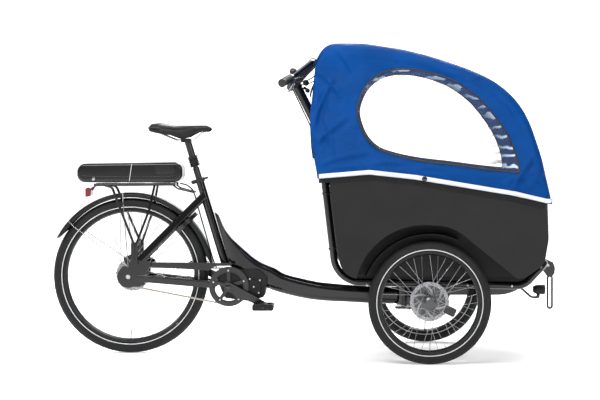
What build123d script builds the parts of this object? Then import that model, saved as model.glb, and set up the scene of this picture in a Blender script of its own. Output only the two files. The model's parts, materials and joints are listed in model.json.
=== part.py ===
"""Front-box cargo cycle with pedal assist, modelled in millimetres.

The frame has +X forward, +Y to the rider's left and +Z up.  The origin lies on the
ground below the middle of the bounding box.  Side profiles are written as (x, z) with x
measured forward from the rear axle, which is how a cycle frame is usually drawn.
"""
import os
from math import asin, atan2, cos, degrees, hypot, radians, sin

from build123d import *

os.makedirs("parts", exist_ok=True)

# ---------------------------------------------------------------- driving dimensions
REAR_X = -739.25         # rear axle, from the middle of the cycle
WHEELBASE = 1263.5
REAR_R = 329.5           # 26 inch tyre, 50-559
FRONT_R = 250.0          # 20 inch tyre, 47-406
HALF_TRACK = 345.0
PIVOT_X = 1165.0         # upright steering pivot below the box
CRANK_X, CRANK_Z = 422.5, 286.6
CRANK_LENGTH = 170.0
CRANK_ANGLE = -26.7
CHAIN_Y = -54.0
SEAT_X, SEAT_Z = 289.4, 743.9      # seat collar, on the seat tube axis
SEAT_ANGLE = 17.0
RUN_CLEARANCE = 0.05               # radial play of every shaft in its bore
RIGHT, LEFT = -1, 1
SIDES = (RIGHT, LEFT)

SEAT_DOWN = (sin(radians(SEAT_ANGLE)), -cos(radians(SEAT_ANGLE)))


def pos(x, z, y=0.0):
    """A point from its distance ahead of the rear axle, its height and its side."""
    return (REAR_X + x, y, z)


def flat(x, z):
    """The same point inside a side view sketch."""
    return (REAR_X + x, z)


def at_y(y):
    """The side view plane at y; an extrusion from it runs towards the right (-Y)."""
    return Plane.XZ.offset(-y)


def wheel_plane(x, z, y=0.0):
    """A plane holding a wheel's axle: local x along +Y, local y radial, upwards."""
    return Plane(origin=pos(x, z, y), x_dir=(0, 1, 0), z_dir=(1, 0, 0))


def axle_line(x, z, y=0.0):
    return Axis(pos(x, z, y), (0, 1, 0))


def seat_plane(down):
    """A plane square to the seat tube, a distance down from the collar, facing up."""
    origin = pos(SEAT_X + SEAT_DOWN[0] * down, SEAT_Z + SEAT_DOWN[1] * down)
    return Plane(origin=origin, x_dir=(-SEAT_DOWN[1], 0, SEAT_DOWN[0]), z_dir=(-SEAT_DOWN[0], 0,
                                                                               -SEAT_DOWN[1]))


def save(piece, name):
    piece.part.label = name
    export_step(piece.part, f"parts/{name}.step")


def bent_rod(points, radius, bends):
    """A round rod or tube, solid, along straight runs joined by arcs."""
    with BuildPart() as rod:
        with BuildLine() as path:
            if len(points) > 2:
                FilletPolyline(*points, radius=bends)
            else:
                Line(*points)
        with BuildSketch(Plane(origin=path.line @ 0, z_dir=path.line % 0)):
            Circle(radius)
        sweep(path=path.line)
    return rod.part


def group(parts):
    """Several solids kept together as one sub-part."""
    with BuildPart() as bundle:
        add(parts)
    return bundle


# ---------------------------------------------------------------- wheels
def make_tyre(x, z, y, radius, section, bead):
    wall = 4.5
    with BuildPart() as tyre:
        with BuildSketch(wheel_plane(x, z, y)):
            with Locations((0, radius - section)):
                Circle(section)
                Circle(section - wall, mode=Mode.SUBTRACT)
            with Locations((0, bead - section)):
                Rectangle(4 * section, 2 * section, mode=Mode.SUBTRACT)
        revolve(axis=axle_line(x, z, y))
    return tyre


def make_rim(x, z, y, outer, inner):
    half, lip, well = 15.5, 2.5, 8.0
    outline = [(-half, outer), (-half, outer - 11), (-6, inner), (6, inner), (half, outer - 11),
               (half, outer), (half - lip, outer), (half - lip, outer - well),
               (lip - half, outer - well), (lip - half, outer)]
    with BuildPart() as rim:
        with BuildSketch(wheel_plane(x, z, y)):
            Polygon(*outline, align=None)
        revolve(axis=axle_line(x, z, y))
    return rim


def make_spokes(x, z, y, hub_r, flange, rim_r, sweep_angle, count=36):
    """Tangential spokes, alternately to each flange and leading or trailing."""
    radius, rim_offset, head_step = 1.0, 2.0, 2.2
    planes = []
    for index in range(count):
        side = 1 if index % 2 else -1
        trail = 1 if (index // 2) % 2 else -1
        rim_angle = radians(360 / count * index)
        hub_angle = rim_angle + trail * radians(sweep_angle)
        start = Vector(hub_r * cos(hub_angle), side * (flange + trail * head_step), hub_r * sin(hub_angle))
        end = Vector(rim_r * cos(rim_angle), side * rim_offset, rim_r * sin(rim_angle))
        planes.append(Plane(origin=Vector(*pos(x, z, y)) + start, z_dir=end - start))
        length = (end - start).length
    with BuildPart() as spokes:
        with BuildSketch(*planes):
            Circle(radius)
        extrude(amount=length)
    return spokes


def make_front_hub(side):
    """Hub shell, flanges, cap and brake disc; local x runs inboard."""
    inboard = -side
    shell = [(-32, 0), (-32, 22), (-30, 30), (-26, 30), (-24, 19), (24, 19), (26, 30), (30, 30),
             (32, 24), (38, 24), (38, 0)]
    with BuildPart() as hub:
        with BuildSketch(wheel_plane(WHEELBASE, FRONT_R, side * HALF_TRACK)):
            Polygon(*[(inboard * along, r) for along, r in shell], align=None)
            Polygon(*[(inboard * a, r) for a, r in ((-32, 0), (-32, 24.5), (-42, 24.5), (-46, 18), (-46, 0))],
                    align=None)
            Polygon(*[(inboard * a, r) for a, r in ((38, 20), (40, 20), (40, 80), (38, 80))], align=None)
            Polygon(*[(inboard * a, r) for a, r in ((38, 0), (42, 0), (42, 26), (38, 26))], align=None)
            Polygon(*[(inboard * a, r) for a, r in ((-36, 0), (42, 0), (42, STUB_R + RUN_CLEARANCE),
                                                    (-36, STUB_R + RUN_CLEARANCE))],
                    align=None, mode=Mode.SUBTRACT)
        revolve(axis=axle_line(WHEELBASE, FRONT_R, side * HALF_TRACK))
    return hub


STUB_R = 7.5
AXLE_R = 6.0
for side, word in ((RIGHT, "right"), (LEFT, "left")):
    centre = (WHEELBASE, FRONT_R, side * HALF_TRACK)
    save(make_tyre(*centre, FRONT_R, 23.5, 209.2), f"front_{word}_tyre")
    save(make_rim(*centre, 209.0, 193.0), f"front_{word}_rim")
    save(make_spokes(*centre, 31.4, 28.0, 192.0, 48.0), f"front_{word}_spokes")
    save(make_front_hub(side), f"front_{word}_hub")

save(make_tyre(0, REAR_R, 0, REAR_R, 25.0, 285.2), "rear_tyre")
save(make_rim(0, REAR_R, 0, 285.0, 269.0), "rear_rim")
save(make_spokes(0, REAR_R, 0, 43.6, 32.0, 268.0, 48.0), "rear_spokes")

# Geared hub: shell, flanges, brake disc on the left and driver sleeve on the right.
DRIVER_R = 17.0
with BuildPart() as rear_hub:
    with BuildSketch(wheel_plane(0, REAR_R)):
        Polygon((-58, 0), (-58, DRIVER_R), (-38, DRIVER_R), (-36, 34), (-34.5, 42), (-30.5, 42), (-29, 36),
                (29, 36), (30.5, 42), (34.5, 42), (36, 24), (45, 24), (45, 71), (47, 71), (47, 20), (58, 20),
                (58, 0), align=None)
        Polygon((-58, 0), (58, 0), (58, AXLE_R + RUN_CLEARANCE), (-58, AXLE_R + RUN_CLEARANCE),
                align=None, mode=Mode.SUBTRACT)
    revolve(axis=axle_line(0, REAR_R))
save(rear_hub, "rear_hub")

# ---------------------------------------------------------------- drive
PITCH = 12.7
SPROCKET_TEETH = 19
RING_TEETH = 38
SPROCKET_R = PITCH / (2 * sin(radians(180 / SPROCKET_TEETH)))
RING_R = PITCH / (2 * sin(radians(180 / RING_TEETH)))
WHEEL_THICK = 2.4


def draw_teeth(x, z, pitch_r, teeth):
    """Draw the toothed outline of a sprocket or chainring in the open sketch."""
    root_r = pitch_r - 4.0
    with Locations(flat(x, z)):
        Circle(root_r)
        with PolarLocations(root_r - 0.6, teeth):
            Polygon((0, -3.2), (6.4, -1.3), (6.4, 1.3), (0, 3.2), align=None)


with BuildPart() as rear_sprocket:
    with BuildSketch(at_y(CHAIN_Y + WHEEL_THICK / 2)):
        draw_teeth(0, REAR_R, SPROCKET_R, SPROCKET_TEETH)
    extrude(amount=WHEEL_THICK)
    with BuildSketch(at_y(CHAIN_Y + 6)):
        with Locations(flat(0, REAR_R)):
            Circle(DRIVER_R + 5)
    extrude(amount=6)
    with BuildSketch(at_y(CHAIN_Y + 8)):
        with Locations(flat(0, REAR_R)):
            Circle(DRIVER_R + RUN_CLEARANCE)
    extrude(amount=16, mode=Mode.SUBTRACT)
save(rear_sprocket, "rear_sprocket")

CRANK_AXLE_R = 12.0
with BuildPart() as chainring:
    with BuildSketch(at_y(CHAIN_Y + WHEEL_THICK / 2)):
        draw_teeth(CRANK_X, CRANK_Z, RING_R, RING_TEETH)
        with Locations(flat(CRANK_X, CRANK_Z)):
            Circle(60, mode=Mode.SUBTRACT)
            with PolarLocations(41, 5, start_angle=20):
                Rectangle(46, 15)
            Circle(24)
            Circle(CRANK_AXLE_R, mode=Mode.SUBTRACT)
    extrude(amount=WHEEL_THICK)
    with BuildSketch(at_y(CHAIN_Y - 5)):
        with Locations(flat(CRANK_X, CRANK_Z)):
            Circle(84)
            Circle(66, mode=Mode.SUBTRACT)
    extrude(amount=2.6)
    with BuildSketch(at_y(CHAIN_Y - WHEEL_THICK / 2)):
        with Locations(flat(CRANK_X, CRANK_Z)):
            with PolarLocations(67.5, 5, start_angle=20):
                Circle(3.5)
    extrude(amount=4.5)
save(chainring, "chainring")

with BuildPart() as crank_axle:
    with BuildSketch(at_y(68)):
        with Locations(flat(CRANK_X, CRANK_Z)):
            Circle(CRANK_AXLE_R)
    extrude(amount=136)
save(crank_axle, "crank_axle")

ARM_THICK = 13.0
PEDAL_AXLE_R = 5.0


def crank_end(side):
    """Pedal axle centre of the arm on one side."""
    angle = radians(CRANK_ANGLE if side == RIGHT else CRANK_ANGLE + 180)
    return (CRANK_X + CRANK_LENGTH * cos(angle), CRANK_Z + CRANK_LENGTH * sin(angle))


with BuildPart() as crank_arms:
    for side in SIDES:
        end = crank_end(side)
        inner = side * 67.0 if side == RIGHT else side * 67.0 + ARM_THICK
        with BuildSketch(at_y(inner)):
            with Locations(flat(CRANK_X, CRANK_Z)):
                Circle(19)
            with Locations(flat(*end)):
                Circle(13)
            make_hull()
            with Locations(flat(CRANK_X, CRANK_Z)):
                Circle(CRANK_AXLE_R, mode=Mode.SUBTRACT)
        extrude(amount=ARM_THICK)
        axle_start = -78.0 if side == RIGHT else 190.0
        with BuildSketch(at_y(axle_start)):
            with Locations(flat(*end)):
                Circle(PEDAL_AXLE_R)
        extrude(amount=112.0)
save(crank_arms, "crank_arms")

PEDAL_LONG, PEDAL_THICK, PEDAL_WIDE = 88.0, 27.0, 84.0
for side, word in ((RIGHT, "right"), (LEFT, "left")):
    end = crank_end(side)
    outer_y = -92.0 if side == RIGHT else 92.0 + PEDAL_WIDE
    with BuildPart() as pedal:
        with BuildSketch(at_y(outer_y)):
            with Locations(flat(*end)):
                RectangleRounded(PEDAL_LONG, PEDAL_THICK, 8)
                Circle(PEDAL_AXLE_R + RUN_CLEARANCE, mode=Mode.SUBTRACT)
        extrude(amount=PEDAL_WIDE)
        with BuildSketch(Plane(origin=pos(*end, outer_y - PEDAL_WIDE / 2), z_dir=(0, 0, 1))):
            with GridLocations(50, 0, 2, 1):
                Rectangle(20, PEDAL_WIDE - 22)
        extrude(amount=PEDAL_THICK, both=True, mode=Mode.SUBTRACT)
    save(pedal, f"pedal_{word}")

# Chain: two loops of side plates beside the teeth, with rollers on the straight runs.
CHAIN_HALF = 4.2
PLATE_THICK = 1.1
CENTRES = ((0.0, REAR_R, SPROCKET_R), (CRANK_X, CRANK_Z, RING_R))
RUN_LENGTH = hypot(CRANK_X, CRANK_Z - REAR_R)
RUN_ANGLE = atan2(CRANK_Z - REAR_R, CRANK_X)
TANGENT = asin((RING_R - SPROCKET_R) / RUN_LENGTH)


def run_point(top, share):
    """A point on the upper or lower straight run, from the sprocket to the ring."""
    sign = 1 if top else -1
    normal = RUN_ANGLE + sign * (radians(90) + TANGENT)
    ends = [(cx + r * cos(normal), cz + r * sin(normal)) for cx, cz, r in CENTRES]
    return tuple(low + (high - low) * share for low, high in zip(*ends))


def draw_chain_loop(grow):
    """Fill the outline of a belt round sprocket and ring in the open sketch."""
    for cx, cz, r in CENTRES:
        with Locations(flat(cx, cz)):
            Circle(r + grow)
    make_hull()


with BuildPart() as chain:
    for plate_y in (CHAIN_Y + 3.4, CHAIN_Y - 3.4 + PLATE_THICK):
        with BuildSketch(at_y(plate_y)):
            draw_chain_loop(CHAIN_HALF)
        extrude(amount=PLATE_THICK)
        with BuildSketch(at_y(plate_y)):
            draw_chain_loop(-CHAIN_HALF)
        extrude(amount=PLATE_THICK, mode=Mode.SUBTRACT)
    for top in (True, False):
        for index in range(6, 29, 2):
            with BuildSketch(at_y(CHAIN_Y + 3.4)):
                with Locations(flat(*run_point(top, index / 34))):
                    Circle(2.6)
            extrude(amount=6.8)
save(chain, "chain")

MOTOR_OUTLINE = [flat(x, z) for x, z in ((374, 306), (396, 356), (548, 358), (586, 322), (572, 240),
                                         (500, 224),
                                         (404, 236))]
MOTOR_ROUND = 18.0
MOTOR_LEFT, MOTOR_WIDE = 48.0, 90.0
with BuildPart() as motor_housing:
    with BuildSketch(at_y(MOTOR_LEFT)) as motor_face:
        with BuildLine():
            FilletPolyline(*MOTOR_OUTLINE, radius=MOTOR_ROUND, close=True)
        make_face()
        with Locations(flat(CRANK_X, CRANK_Z)):
            Circle(CRANK_AXLE_R + RUN_CLEARANCE, mode=Mode.SUBTRACT)
    extrude(amount=MOTOR_WIDE)
    with BuildSketch(at_y(MOTOR_LEFT - MOTOR_WIDE)):
        with Locations(flat(519, 279)):
            Circle(38)
    extrude(amount=7)
save(motor_housing, "motor_housing")

# ---------------------------------------------------------------- rear frame
TUBE_STATIONS = (  # top edge, bottom edge, width
    ((355, 602), (424, 366), 34), ((404, 522), (436, 362), 44), ((441, 479), (449, 356), 50),
    ((484, 440), (470, 345), 54), ((518, 411), (492, 331), 56), ((560, 385), (520, 311), 58),
    ((637, 347), (602, 267), 60), ((713, 322), (690, 242), 62), ((789, 305), (773, 226), 62),
    ((888, 291.5), (880, 217.5), 62), ((1003, 283), (1003, 211), 60), ((1100, 280), (1100, 209), 58),
    ((1135, 279), (1135, 209), 56))
SEAT_TUBE_R = 17.0
POST_R = 13.6
HEAD_R = 34.0
HEAD_LOW, HEAD_HIGH = 206.0, 286.0
KINGPIN_R = 12.0

with BuildPart() as main_tube:
    for top, bottom, width in TUBE_STATIONS:
        rise = Vector(top[0] - bottom[0], 0, top[1] - bottom[1])
        middle = pos((top[0] + bottom[0]) / 2, (top[1] + bottom[1]) / 2)
        with BuildSketch(Plane(origin=middle, x_dir=(0, 1, 0), z_dir=(rise.Z, 0, -rise.X))):
            RectangleRounded(width, rise.length, width * 0.42)
    loft()
    with BuildSketch(Plane.XY.offset(HEAD_LOW)):
        with Locations((REAR_X + PIVOT_X, 0)):
            Circle(HEAD_R)
    extrude(amount=HEAD_HIGH - HEAD_LOW)
    with BuildSketch(Plane.XY.offset(HEAD_LOW)):
        with Locations((REAR_X + PIVOT_X, 0)):
            Circle(KINGPIN_R + RUN_CLEARANCE)
    extrude(amount=HEAD_HIGH - HEAD_LOW, mode=Mode.SUBTRACT)
    with BuildSketch(seat_plane(460)):
        Circle(SEAT_TUBE_R)
    extrude(amount=400, mode=Mode.SUBTRACT)
    with BuildSketch(at_y(MOTOR_LEFT)):
        with BuildLine():
            FilletPolyline(*MOTOR_OUTLINE, radius=MOTOR_ROUND, close=True)
        make_face()
        offset(amount=1)
    extrude(amount=MOTOR_WIDE, mode=Mode.SUBTRACT)
save(main_tube, "main_tube")

SEAT_TUBE_LOW = 385.0
with BuildPart() as seat_tube:
    with BuildSketch(seat_plane(SEAT_TUBE_LOW)):
        Circle(SEAT_TUBE_R)
        Circle(POST_R + RUN_CLEARANCE, mode=Mode.SUBTRACT)
    extrude(amount=SEAT_TUBE_LOW - 2)
save(seat_tube, "seat_tube")

STAY_SECTION = (8.0, 16.0)        # half thickness, half height
DROPOUT_Y = 71.0


def flat_tube(start, end, half_wide, half_high):
    """A straight oval tube; its tall side lies in the side view."""
    run = Vector(*end) - Vector(*start)
    with BuildPart() as tube:
        with BuildSketch(Plane(origin=start, x_dir=Vector(0, 1, 0) - run * (run.Y / run.length ** 2),
                               z_dir=run)):
            RectangleRounded(2 * half_wide, 2 * half_high, half_wide * 0.95)
        extrude(amount=run.length)
    return tube.part


stay_pair = [flat_tube(pos(47, 400, side * DROPOUT_Y), pos(316, 672, side * 24),
                       *STAY_SECTION) for side in SIDES]
with BuildPart() as seat_stays:
    add(stay_pair)
    with BuildSketch(seat_plane(300)):
        Circle(SEAT_TUBE_R)
    extrude(amount=300, mode=Mode.SUBTRACT)
save(seat_stays, "seat_stays")

lower_pair = [flat_tube(pos(40, 323.5, side * DROPOUT_Y), pos(366, 292, side * 40), 8.0,
                        16.0) for side in SIDES]
with BuildPart() as chain_stays:
    add(lower_pair)
    for side in SIDES:
        with BuildSketch(at_y(side * DROPOUT_Y + 4)):
            with Locations(flat(0, REAR_R)):
                Circle(47)
            with BuildLine():
                Polyline(flat(-6, 376), flat(12, 402), flat(34, 412), flat(64, 404), flat(92, 392),
                         flat(96, 376),
                         flat(74, 352), flat(70, 296), flat(40, 286), flat(0, 290), close=True)
            make_face()
        extrude(amount=8)
    for part in stay_pair:
        add(part, mode=Mode.SUBTRACT)
    with BuildSketch(at_y(90)):
        with Locations(flat(0, REAR_R)):
            Circle(AXLE_R)
    extrude(amount=180, mode=Mode.SUBTRACT)
    with BuildSketch(at_y(MOTOR_LEFT)):
        with BuildLine():
            FilletPolyline(*MOTOR_OUTLINE, radius=MOTOR_ROUND, close=True)
        make_face()
        offset(amount=1)
    extrude(amount=MOTOR_WIDE, mode=Mode.SUBTRACT)
save(chain_stays, "chain_stays")

AXLE_END = 98.0
with BuildPart() as rear_axle:
    with BuildSketch(at_y(AXLE_END)):
        with Locations(flat(0, REAR_R)):
            Circle(AXLE_R)
    extrude(amount=2 * AXLE_END - 12)
    for nut_y in (DROPOUT_Y + 4 + 8, -DROPOUT_Y - 4):
        with BuildSketch(at_y(nut_y)):
            with Locations(flat(0, REAR_R)):
                RegularPolygon(10, 6)
        extrude(amount=8)
save(rear_axle, "rear_axle")

with BuildPart() as chain_guard:
    with BuildSketch(at_y(-59.5)):
        Polygon(flat(74, 390), flat(78, 371), flat(338, 354.5), flat(368, 373.5), flat(434, 374.5),
                flat(434, 386), flat(230, 389), align=None)
    extrude(amount=5)
    for x, z, start_y, length in ((86, 381, -62, 4.9), (424, 380, -42, 20)):
        with BuildSketch(at_y(start_y)):
            with Locations(flat(x, z)):
                Circle(4)
        extrude(amount=length)
save(chain_guard, "chain_guard")

COLLAR_R = 22.0
LEVER_PIVOT = (-27.0, -25.0)       # behind and to the right of the seat tube axis
with BuildPart() as seat_clamp:
    with BuildSketch(seat_plane(18)):
        Circle(COLLAR_R)
        with Locations((-26, 0)):
            RectangleRounded(16, 24, 3)
        Circle(SEAT_TUBE_R, mode=Mode.SUBTRACT)
    extrude(amount=16)
    with BuildSketch(Plane(origin=seat_plane(16.5).from_local_coords(Vector(-27, 16, 0)), z_dir=(0, -1, 0))):
        Circle(2.5)
    extrude(amount=42)
    with BuildSketch(seat_plane(18)):
        with Locations(LEVER_PIVOT):
            Circle(3.0)
    extrude(amount=14)
save(seat_clamp, "seat_clamp")

with BuildPart() as seat_clamp_lever:
    with BuildSketch(seat_plane(13.2)):
        with Locations((LEVER_PIVOT[0], LEVER_PIVOT[1] - 1)):
            Circle(7.0)
        with Locations((LEVER_PIVOT[0] + 34, LEVER_PIVOT[1] - 4)):
            RectangleRounded(68, 7, 3)
        with Locations(LEVER_PIVOT):
            Circle(3.0 + RUN_CLEARANCE, mode=Mode.SUBTRACT)
    extrude(amount=9)
save(seat_clamp_lever, "seat_clamp_lever")

# ---------------------------------------------------------------- seatpost and saddle
STANCHION_R = 11.0
with BuildPart() as seatpost:
    with BuildSketch(seat_plane(180)):
        Circle(POST_R)
    extrude(amount=225)
    with BuildSketch(seat_plane(-45)):
        Circle(STANCHION_R)
    extrude(amount=80)
save(seatpost, "seatpost")

RAIL_POINTS = ((308, 941), (272, 908.5), (196, 905.5), (118, 938))
rails = [bent_rod([pos(x, z, side * 22) for x, z in RAIL_POINTS], 3.5, 14.0) for side in SIDES]
with BuildPart() as seatpost_head:
    with BuildSketch(seat_plane(-90)):
        Circle(15)
    extrude(amount=78)
    with BuildSketch(seat_plane(-92.5)):
        Circle(20)
    extrude(amount=5)
    with BuildSketch(Plane(origin=pos(237, 896), z_dir=(0, 0, 1))):
        RectangleRounded(44, 58, 6)
    extrude(amount=17)
    with BuildSketch(seat_plane(-80)):
        Circle(STANCHION_R + RUN_CLEARANCE)
    extrude(amount=82, mode=Mode.SUBTRACT)
    add(rails, mode=Mode.SUBTRACT)
save(seatpost_head, "seatpost_head")
save(group(rails), "saddle_rails")

with BuildPart() as seatpost_boot:
    with BuildSketch(seat_plane(-52)):
        Circle(20)
        Circle(17.5, mode=Mode.SUBTRACT)
    extrude(amount=40)
save(seatpost_boot, "seatpost_boot")

with BuildPart() as saddle:
    with BuildSketch(at_y(95)):
        with BuildLine():
            Spline(flat(80, 958), flat(92, 976), flat(130, 980), flat(190, 968), flat(270, 970),
                   flat(330, 968),
                   flat(346, 952), flat(336, 940))
            Spline(flat(336, 940), flat(290, 938), flat(250, 916), flat(215, 908), flat(175, 926),
                   flat(120, 934),
                   flat(88, 942), flat(80, 958))
        make_face()
    extrude(amount=190)
    with BuildSketch(Plane.XY.offset(890)):
        with BuildLine():
            Spline((REAR_X + 346, 0), (REAR_X + 334, 20), (REAR_X + 270, 26), (REAR_X + 200, 50),
                   (REAR_X + 130, 90), (REAR_X + 88, 76), (REAR_X + 80, 0), (REAR_X + 88, -76),
                   (REAR_X + 130, -90), (REAR_X + 200, -50), (REAR_X + 270, -26), (REAR_X + 334, -20),
                   periodic=True)
        make_face()
    extrude(amount=110, mode=Mode.INTERSECT)
    with BuildSketch(at_y(29)):
        Polygon(flat(100, 890), flat(100, 944.5), flat(318, 947), flat(318, 890), align=None)
    extrude(amount=58, mode=Mode.SUBTRACT)
save(saddle, "saddle")

# ---------------------------------------------------------------- rack, battery, mudguard
RACK_Y = 50.0
LEG_FOOT_Y = 86.0
ROD = 6.0
LEG = 5.4
rack_rods = []
for side in SIDES:
    rack_rods.append(bent_rod([pos(-150, 716, side * RACK_Y), pos(196, 719, side * RACK_Y)], ROD, 0))
    rack_rods.append(bent_rod([pos(-108, 716, side * RACK_Y), pos(-72, 706, side * (RACK_Y + 6)),
                               pos(24, 470, side * LEG_FOOT_Y), pos(20, 382, side * LEG_FOOT_Y)], LEG, 22.0))
    rack_rods.append(bent_rod([pos(108, 718, side * RACK_Y), pos(86, 610, side * 64),
                               pos(36, 470, side * LEG_FOOT_Y), pos(37, 400,
                                                                    side * (LEG_FOOT_Y - 0.4))],
                                                                    LEG - 0.3, 22.0))
    rack_rods.append(bent_rod([pos(180, 719, side * RACK_Y), pos(206, 700, side * 46), pos(272, 684,
                                                                                           side * 42)],
                              3.5, 16.0))
with BuildPart() as rack:
    add(rack_rods)
    for x in (-145, 2, 188):
        with BuildSketch(Plane(origin=pos(x, 717.0, RACK_Y - 1), z_dir=(0, -1, 0))):
            Circle(4.6)
        extrude(amount=2 * RACK_Y - 2)
    with BuildSketch(Plane(origin=pos(21, 718.6), z_dir=(0, 0, 1))):
        Rectangle(326, 84)
        with GridLocations(108, 0, 3, 1):
            SlotOverall(80, 46, mode=Mode.SUBTRACT)
    extrude(amount=5)
    for side in SIDES:
        with BuildSketch(at_y(side * LEG_FOOT_Y + 3)):
            with Locations(flat(27, 428)):
                RectangleRounded(28, 96, 6)
        extrude(amount=6)
        with BuildSketch(at_y(side * LEG_FOOT_Y + 5 if side == LEFT else -DROPOUT_Y - 4.2)):
            with Locations(flat(20, 388)):
                Circle(6)
        extrude(amount=abs(LEG_FOOT_Y + 5 - DROPOUT_Y - 4.2))
    add(stay_pair, mode=Mode.SUBTRACT)
save(rack, "rack")

with BuildPart() as battery:
    with BuildSketch(at_y(62)):
        with BuildLine():
            FilletPolyline(flat(-221, 726.5), flat(-221, 806), flat(224, 813), flat(226, 728),
                           radius=34, close=True)
        make_face()
    extrude(amount=124)
    fillet(battery.edges().filter_by(Plane.XZ), 14)
save(battery, "battery")

GUARD_R, GUARD_THICK, GUARD_HALF = 350.5, 2.0, 29.0
GUARD_BACK, GUARD_FRONT = 153.6, 6.0


def curved_guard(x, z, y, radius, half, first, last):
    """A mudguard: a shallow curved strip turned from one angle to another."""
    drop = 7.0
    tilt = radians(first)
    side = Plane(origin=pos(x, z, y), x_dir=(0, 1, 0), z_dir=(sin(tilt), 0, -cos(tilt)))
    with BuildPart() as guard:
        with BuildSketch(side):
            with BuildLine():
                ThreePointArc((-half, radius - drop), (0, radius), (half, radius - drop))
                Line((half, radius - drop), (half, radius - drop + GUARD_THICK))
                ThreePointArc((half, radius - drop + GUARD_THICK), (0, radius + GUARD_THICK),
                              (-half, radius - drop + GUARD_THICK))
                Line((-half, radius - drop + GUARD_THICK), (-half, radius - drop))
            make_face()
        revolve(axis=axle_line(x, z, y), revolution_arc=first - last)
    return guard


save(curved_guard(0, REAR_R, 0, GUARD_R, GUARD_HALF, GUARD_BACK, GUARD_FRONT), "rear_mudguard")

front_guards = [curved_guard(WHEELBASE, FRONT_R, side * HALF_TRACK, 284.0, 30.0, 157.0,
                             66.0).part for side in SIDES]
save(group(front_guards), "front_mudguards")

stay_rods = []
for side in SIDES:
    for x, z in ((-262, 562), (-31, 682)):
        stay_rods.append(bent_rod([pos(x, z, side * 31.5), pos(x * 0.9, REAR_R + (z - REAR_R) * 0.9,
                                                               side * 45),
                                   pos(0, 372, side * 79.6)], 1.8, 30.0))
save(group(stay_rods), "mudguard_stays")

with BuildPart() as tail_light:
    with BuildSketch(at_y(30)):
        Polygon(flat(-190, 664), flat(-190, 700), flat(-178, 705), flat(-164, 700), flat(-168, 668),
                align=None)
    extrude(amount=60)
    fillet(tail_light.edges().filter_by(Axis.Y), 3)
    with BuildSketch(at_y(12)):
        Polygon(flat(-172, 700), flat(-160, 708.5), flat(-150, 708.5), flat(-150, 705.5), flat(-162,
                                                                                               690),
                                                                                               align=None)
    extrude(amount=24)
save(tail_light, "tail_light")

# ---------------------------------------------------------------- frame lock on the seat stays
LOCK_ANGLE = 45.0
LOCK_OUT = 312.0
LOCK_AHEAD = 11.0
LOCK_R = 54.0
LOCK_ACROSS = Vector(cos(radians(LOCK_ANGLE)), 0, sin(radians(LOCK_ANGLE)))
LOCK_ALONG = Vector(sin(radians(LOCK_ANGLE)), 0, -cos(radians(LOCK_ANGLE)))
LOCK_CENTRE = Vector(*pos(0, REAR_R)) + LOCK_ACROSS * LOCK_OUT + LOCK_ALONG * LOCK_AHEAD
LOCK_PLANE = Plane(origin=LOCK_CENTRE, x_dir=LOCK_ACROSS, z_dir=LOCK_ALONG)


def ring_sector(inner, outer, first, last, thick):
    """Part of a flat ring square to the wheel, from one angle to another."""
    steps = 8
    reach = 3 * outer
    fan = [(0, 0)]
    for index in range(steps + 1):
        angle = radians(first + (last - first) * index / steps)
        fan.append((reach * cos(angle), reach * sin(angle)))
    with BuildPart() as sector:
        with BuildSketch(LOCK_PLANE.offset(-thick / 2)):
            Circle(outer)
            Circle(inner, mode=Mode.SUBTRACT)
            Polygon(*fan, align=None, mode=Mode.INTERSECT)
        extrude(amount=thick)
    return sector.part


LOCK_OPEN = 118.0
lock_case = ring_sector(LOCK_R - 8, LOCK_R + 10, -LOCK_OPEN, LOCK_OPEN, 18)
lock_groove = ring_sector(LOCK_R - 4.2, LOCK_R + 4.2, -LOCK_OPEN - 4, LOCK_OPEN + 4, 9)
with BuildPart() as lock_housing:
    add(lock_case)
    with BuildSketch(LOCK_PLANE.offset(-9)):
        with Locations((LOCK_R + 12, 0)):
            RectangleRounded(16, 44, 4)
    extrude(amount=18)
    add(lock_groove, mode=Mode.SUBTRACT)
    add(stay_pair, mode=Mode.SUBTRACT)
save(lock_housing, "lock_housing")

with BuildPart() as lock_shackle:
    add(ring_sector(LOCK_R - 3.5, LOCK_R + 3.5, -24, LOCK_OPEN - 2, 7))
save(lock_shackle, "lock_shackle")

with BuildPart() as rear_caliper:
    with BuildSketch(at_y(62)):
        with Locations(flat(-14, 396)):
            RectangleRounded(46, 30, 6, rotation=25)
    extrude(amount=26)
    with BuildSketch(at_y(49)):
        with Locations(flat(0, REAR_R)):
            Circle(74)
    extrude(amount=6, mode=Mode.SUBTRACT)
    with BuildSketch(at_y(66.5)):
        with Locations(flat(-8, 388)):
            RectangleRounded(18, 30, 5)
    extrude(amount=4.5)
save(rear_caliper, "rear_caliper")

# Battery cable, clipped down behind the seat tube from the rack to the motor.
CABLE_ROUTE = ((210, 722, -14), (238, 716, -13), (266, 694, -12), (278, 656, -12), (290, 610, -12),
               (304, 560, -12), (318, 512, -12), (331, 466, -12), (343, 424, -12), (354, 388, -12),
               (366, 362, -12))
CABLE_R = 3.0
CABLE_BENDS = [20, 40, 70, 150, 300, 300, 300, 300, 260]
save(group([bent_rod([pos(x, z, y) for x, z, y in CABLE_ROUTE], CABLE_R, CABLE_BENDS)]), "battery_cable")

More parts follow.
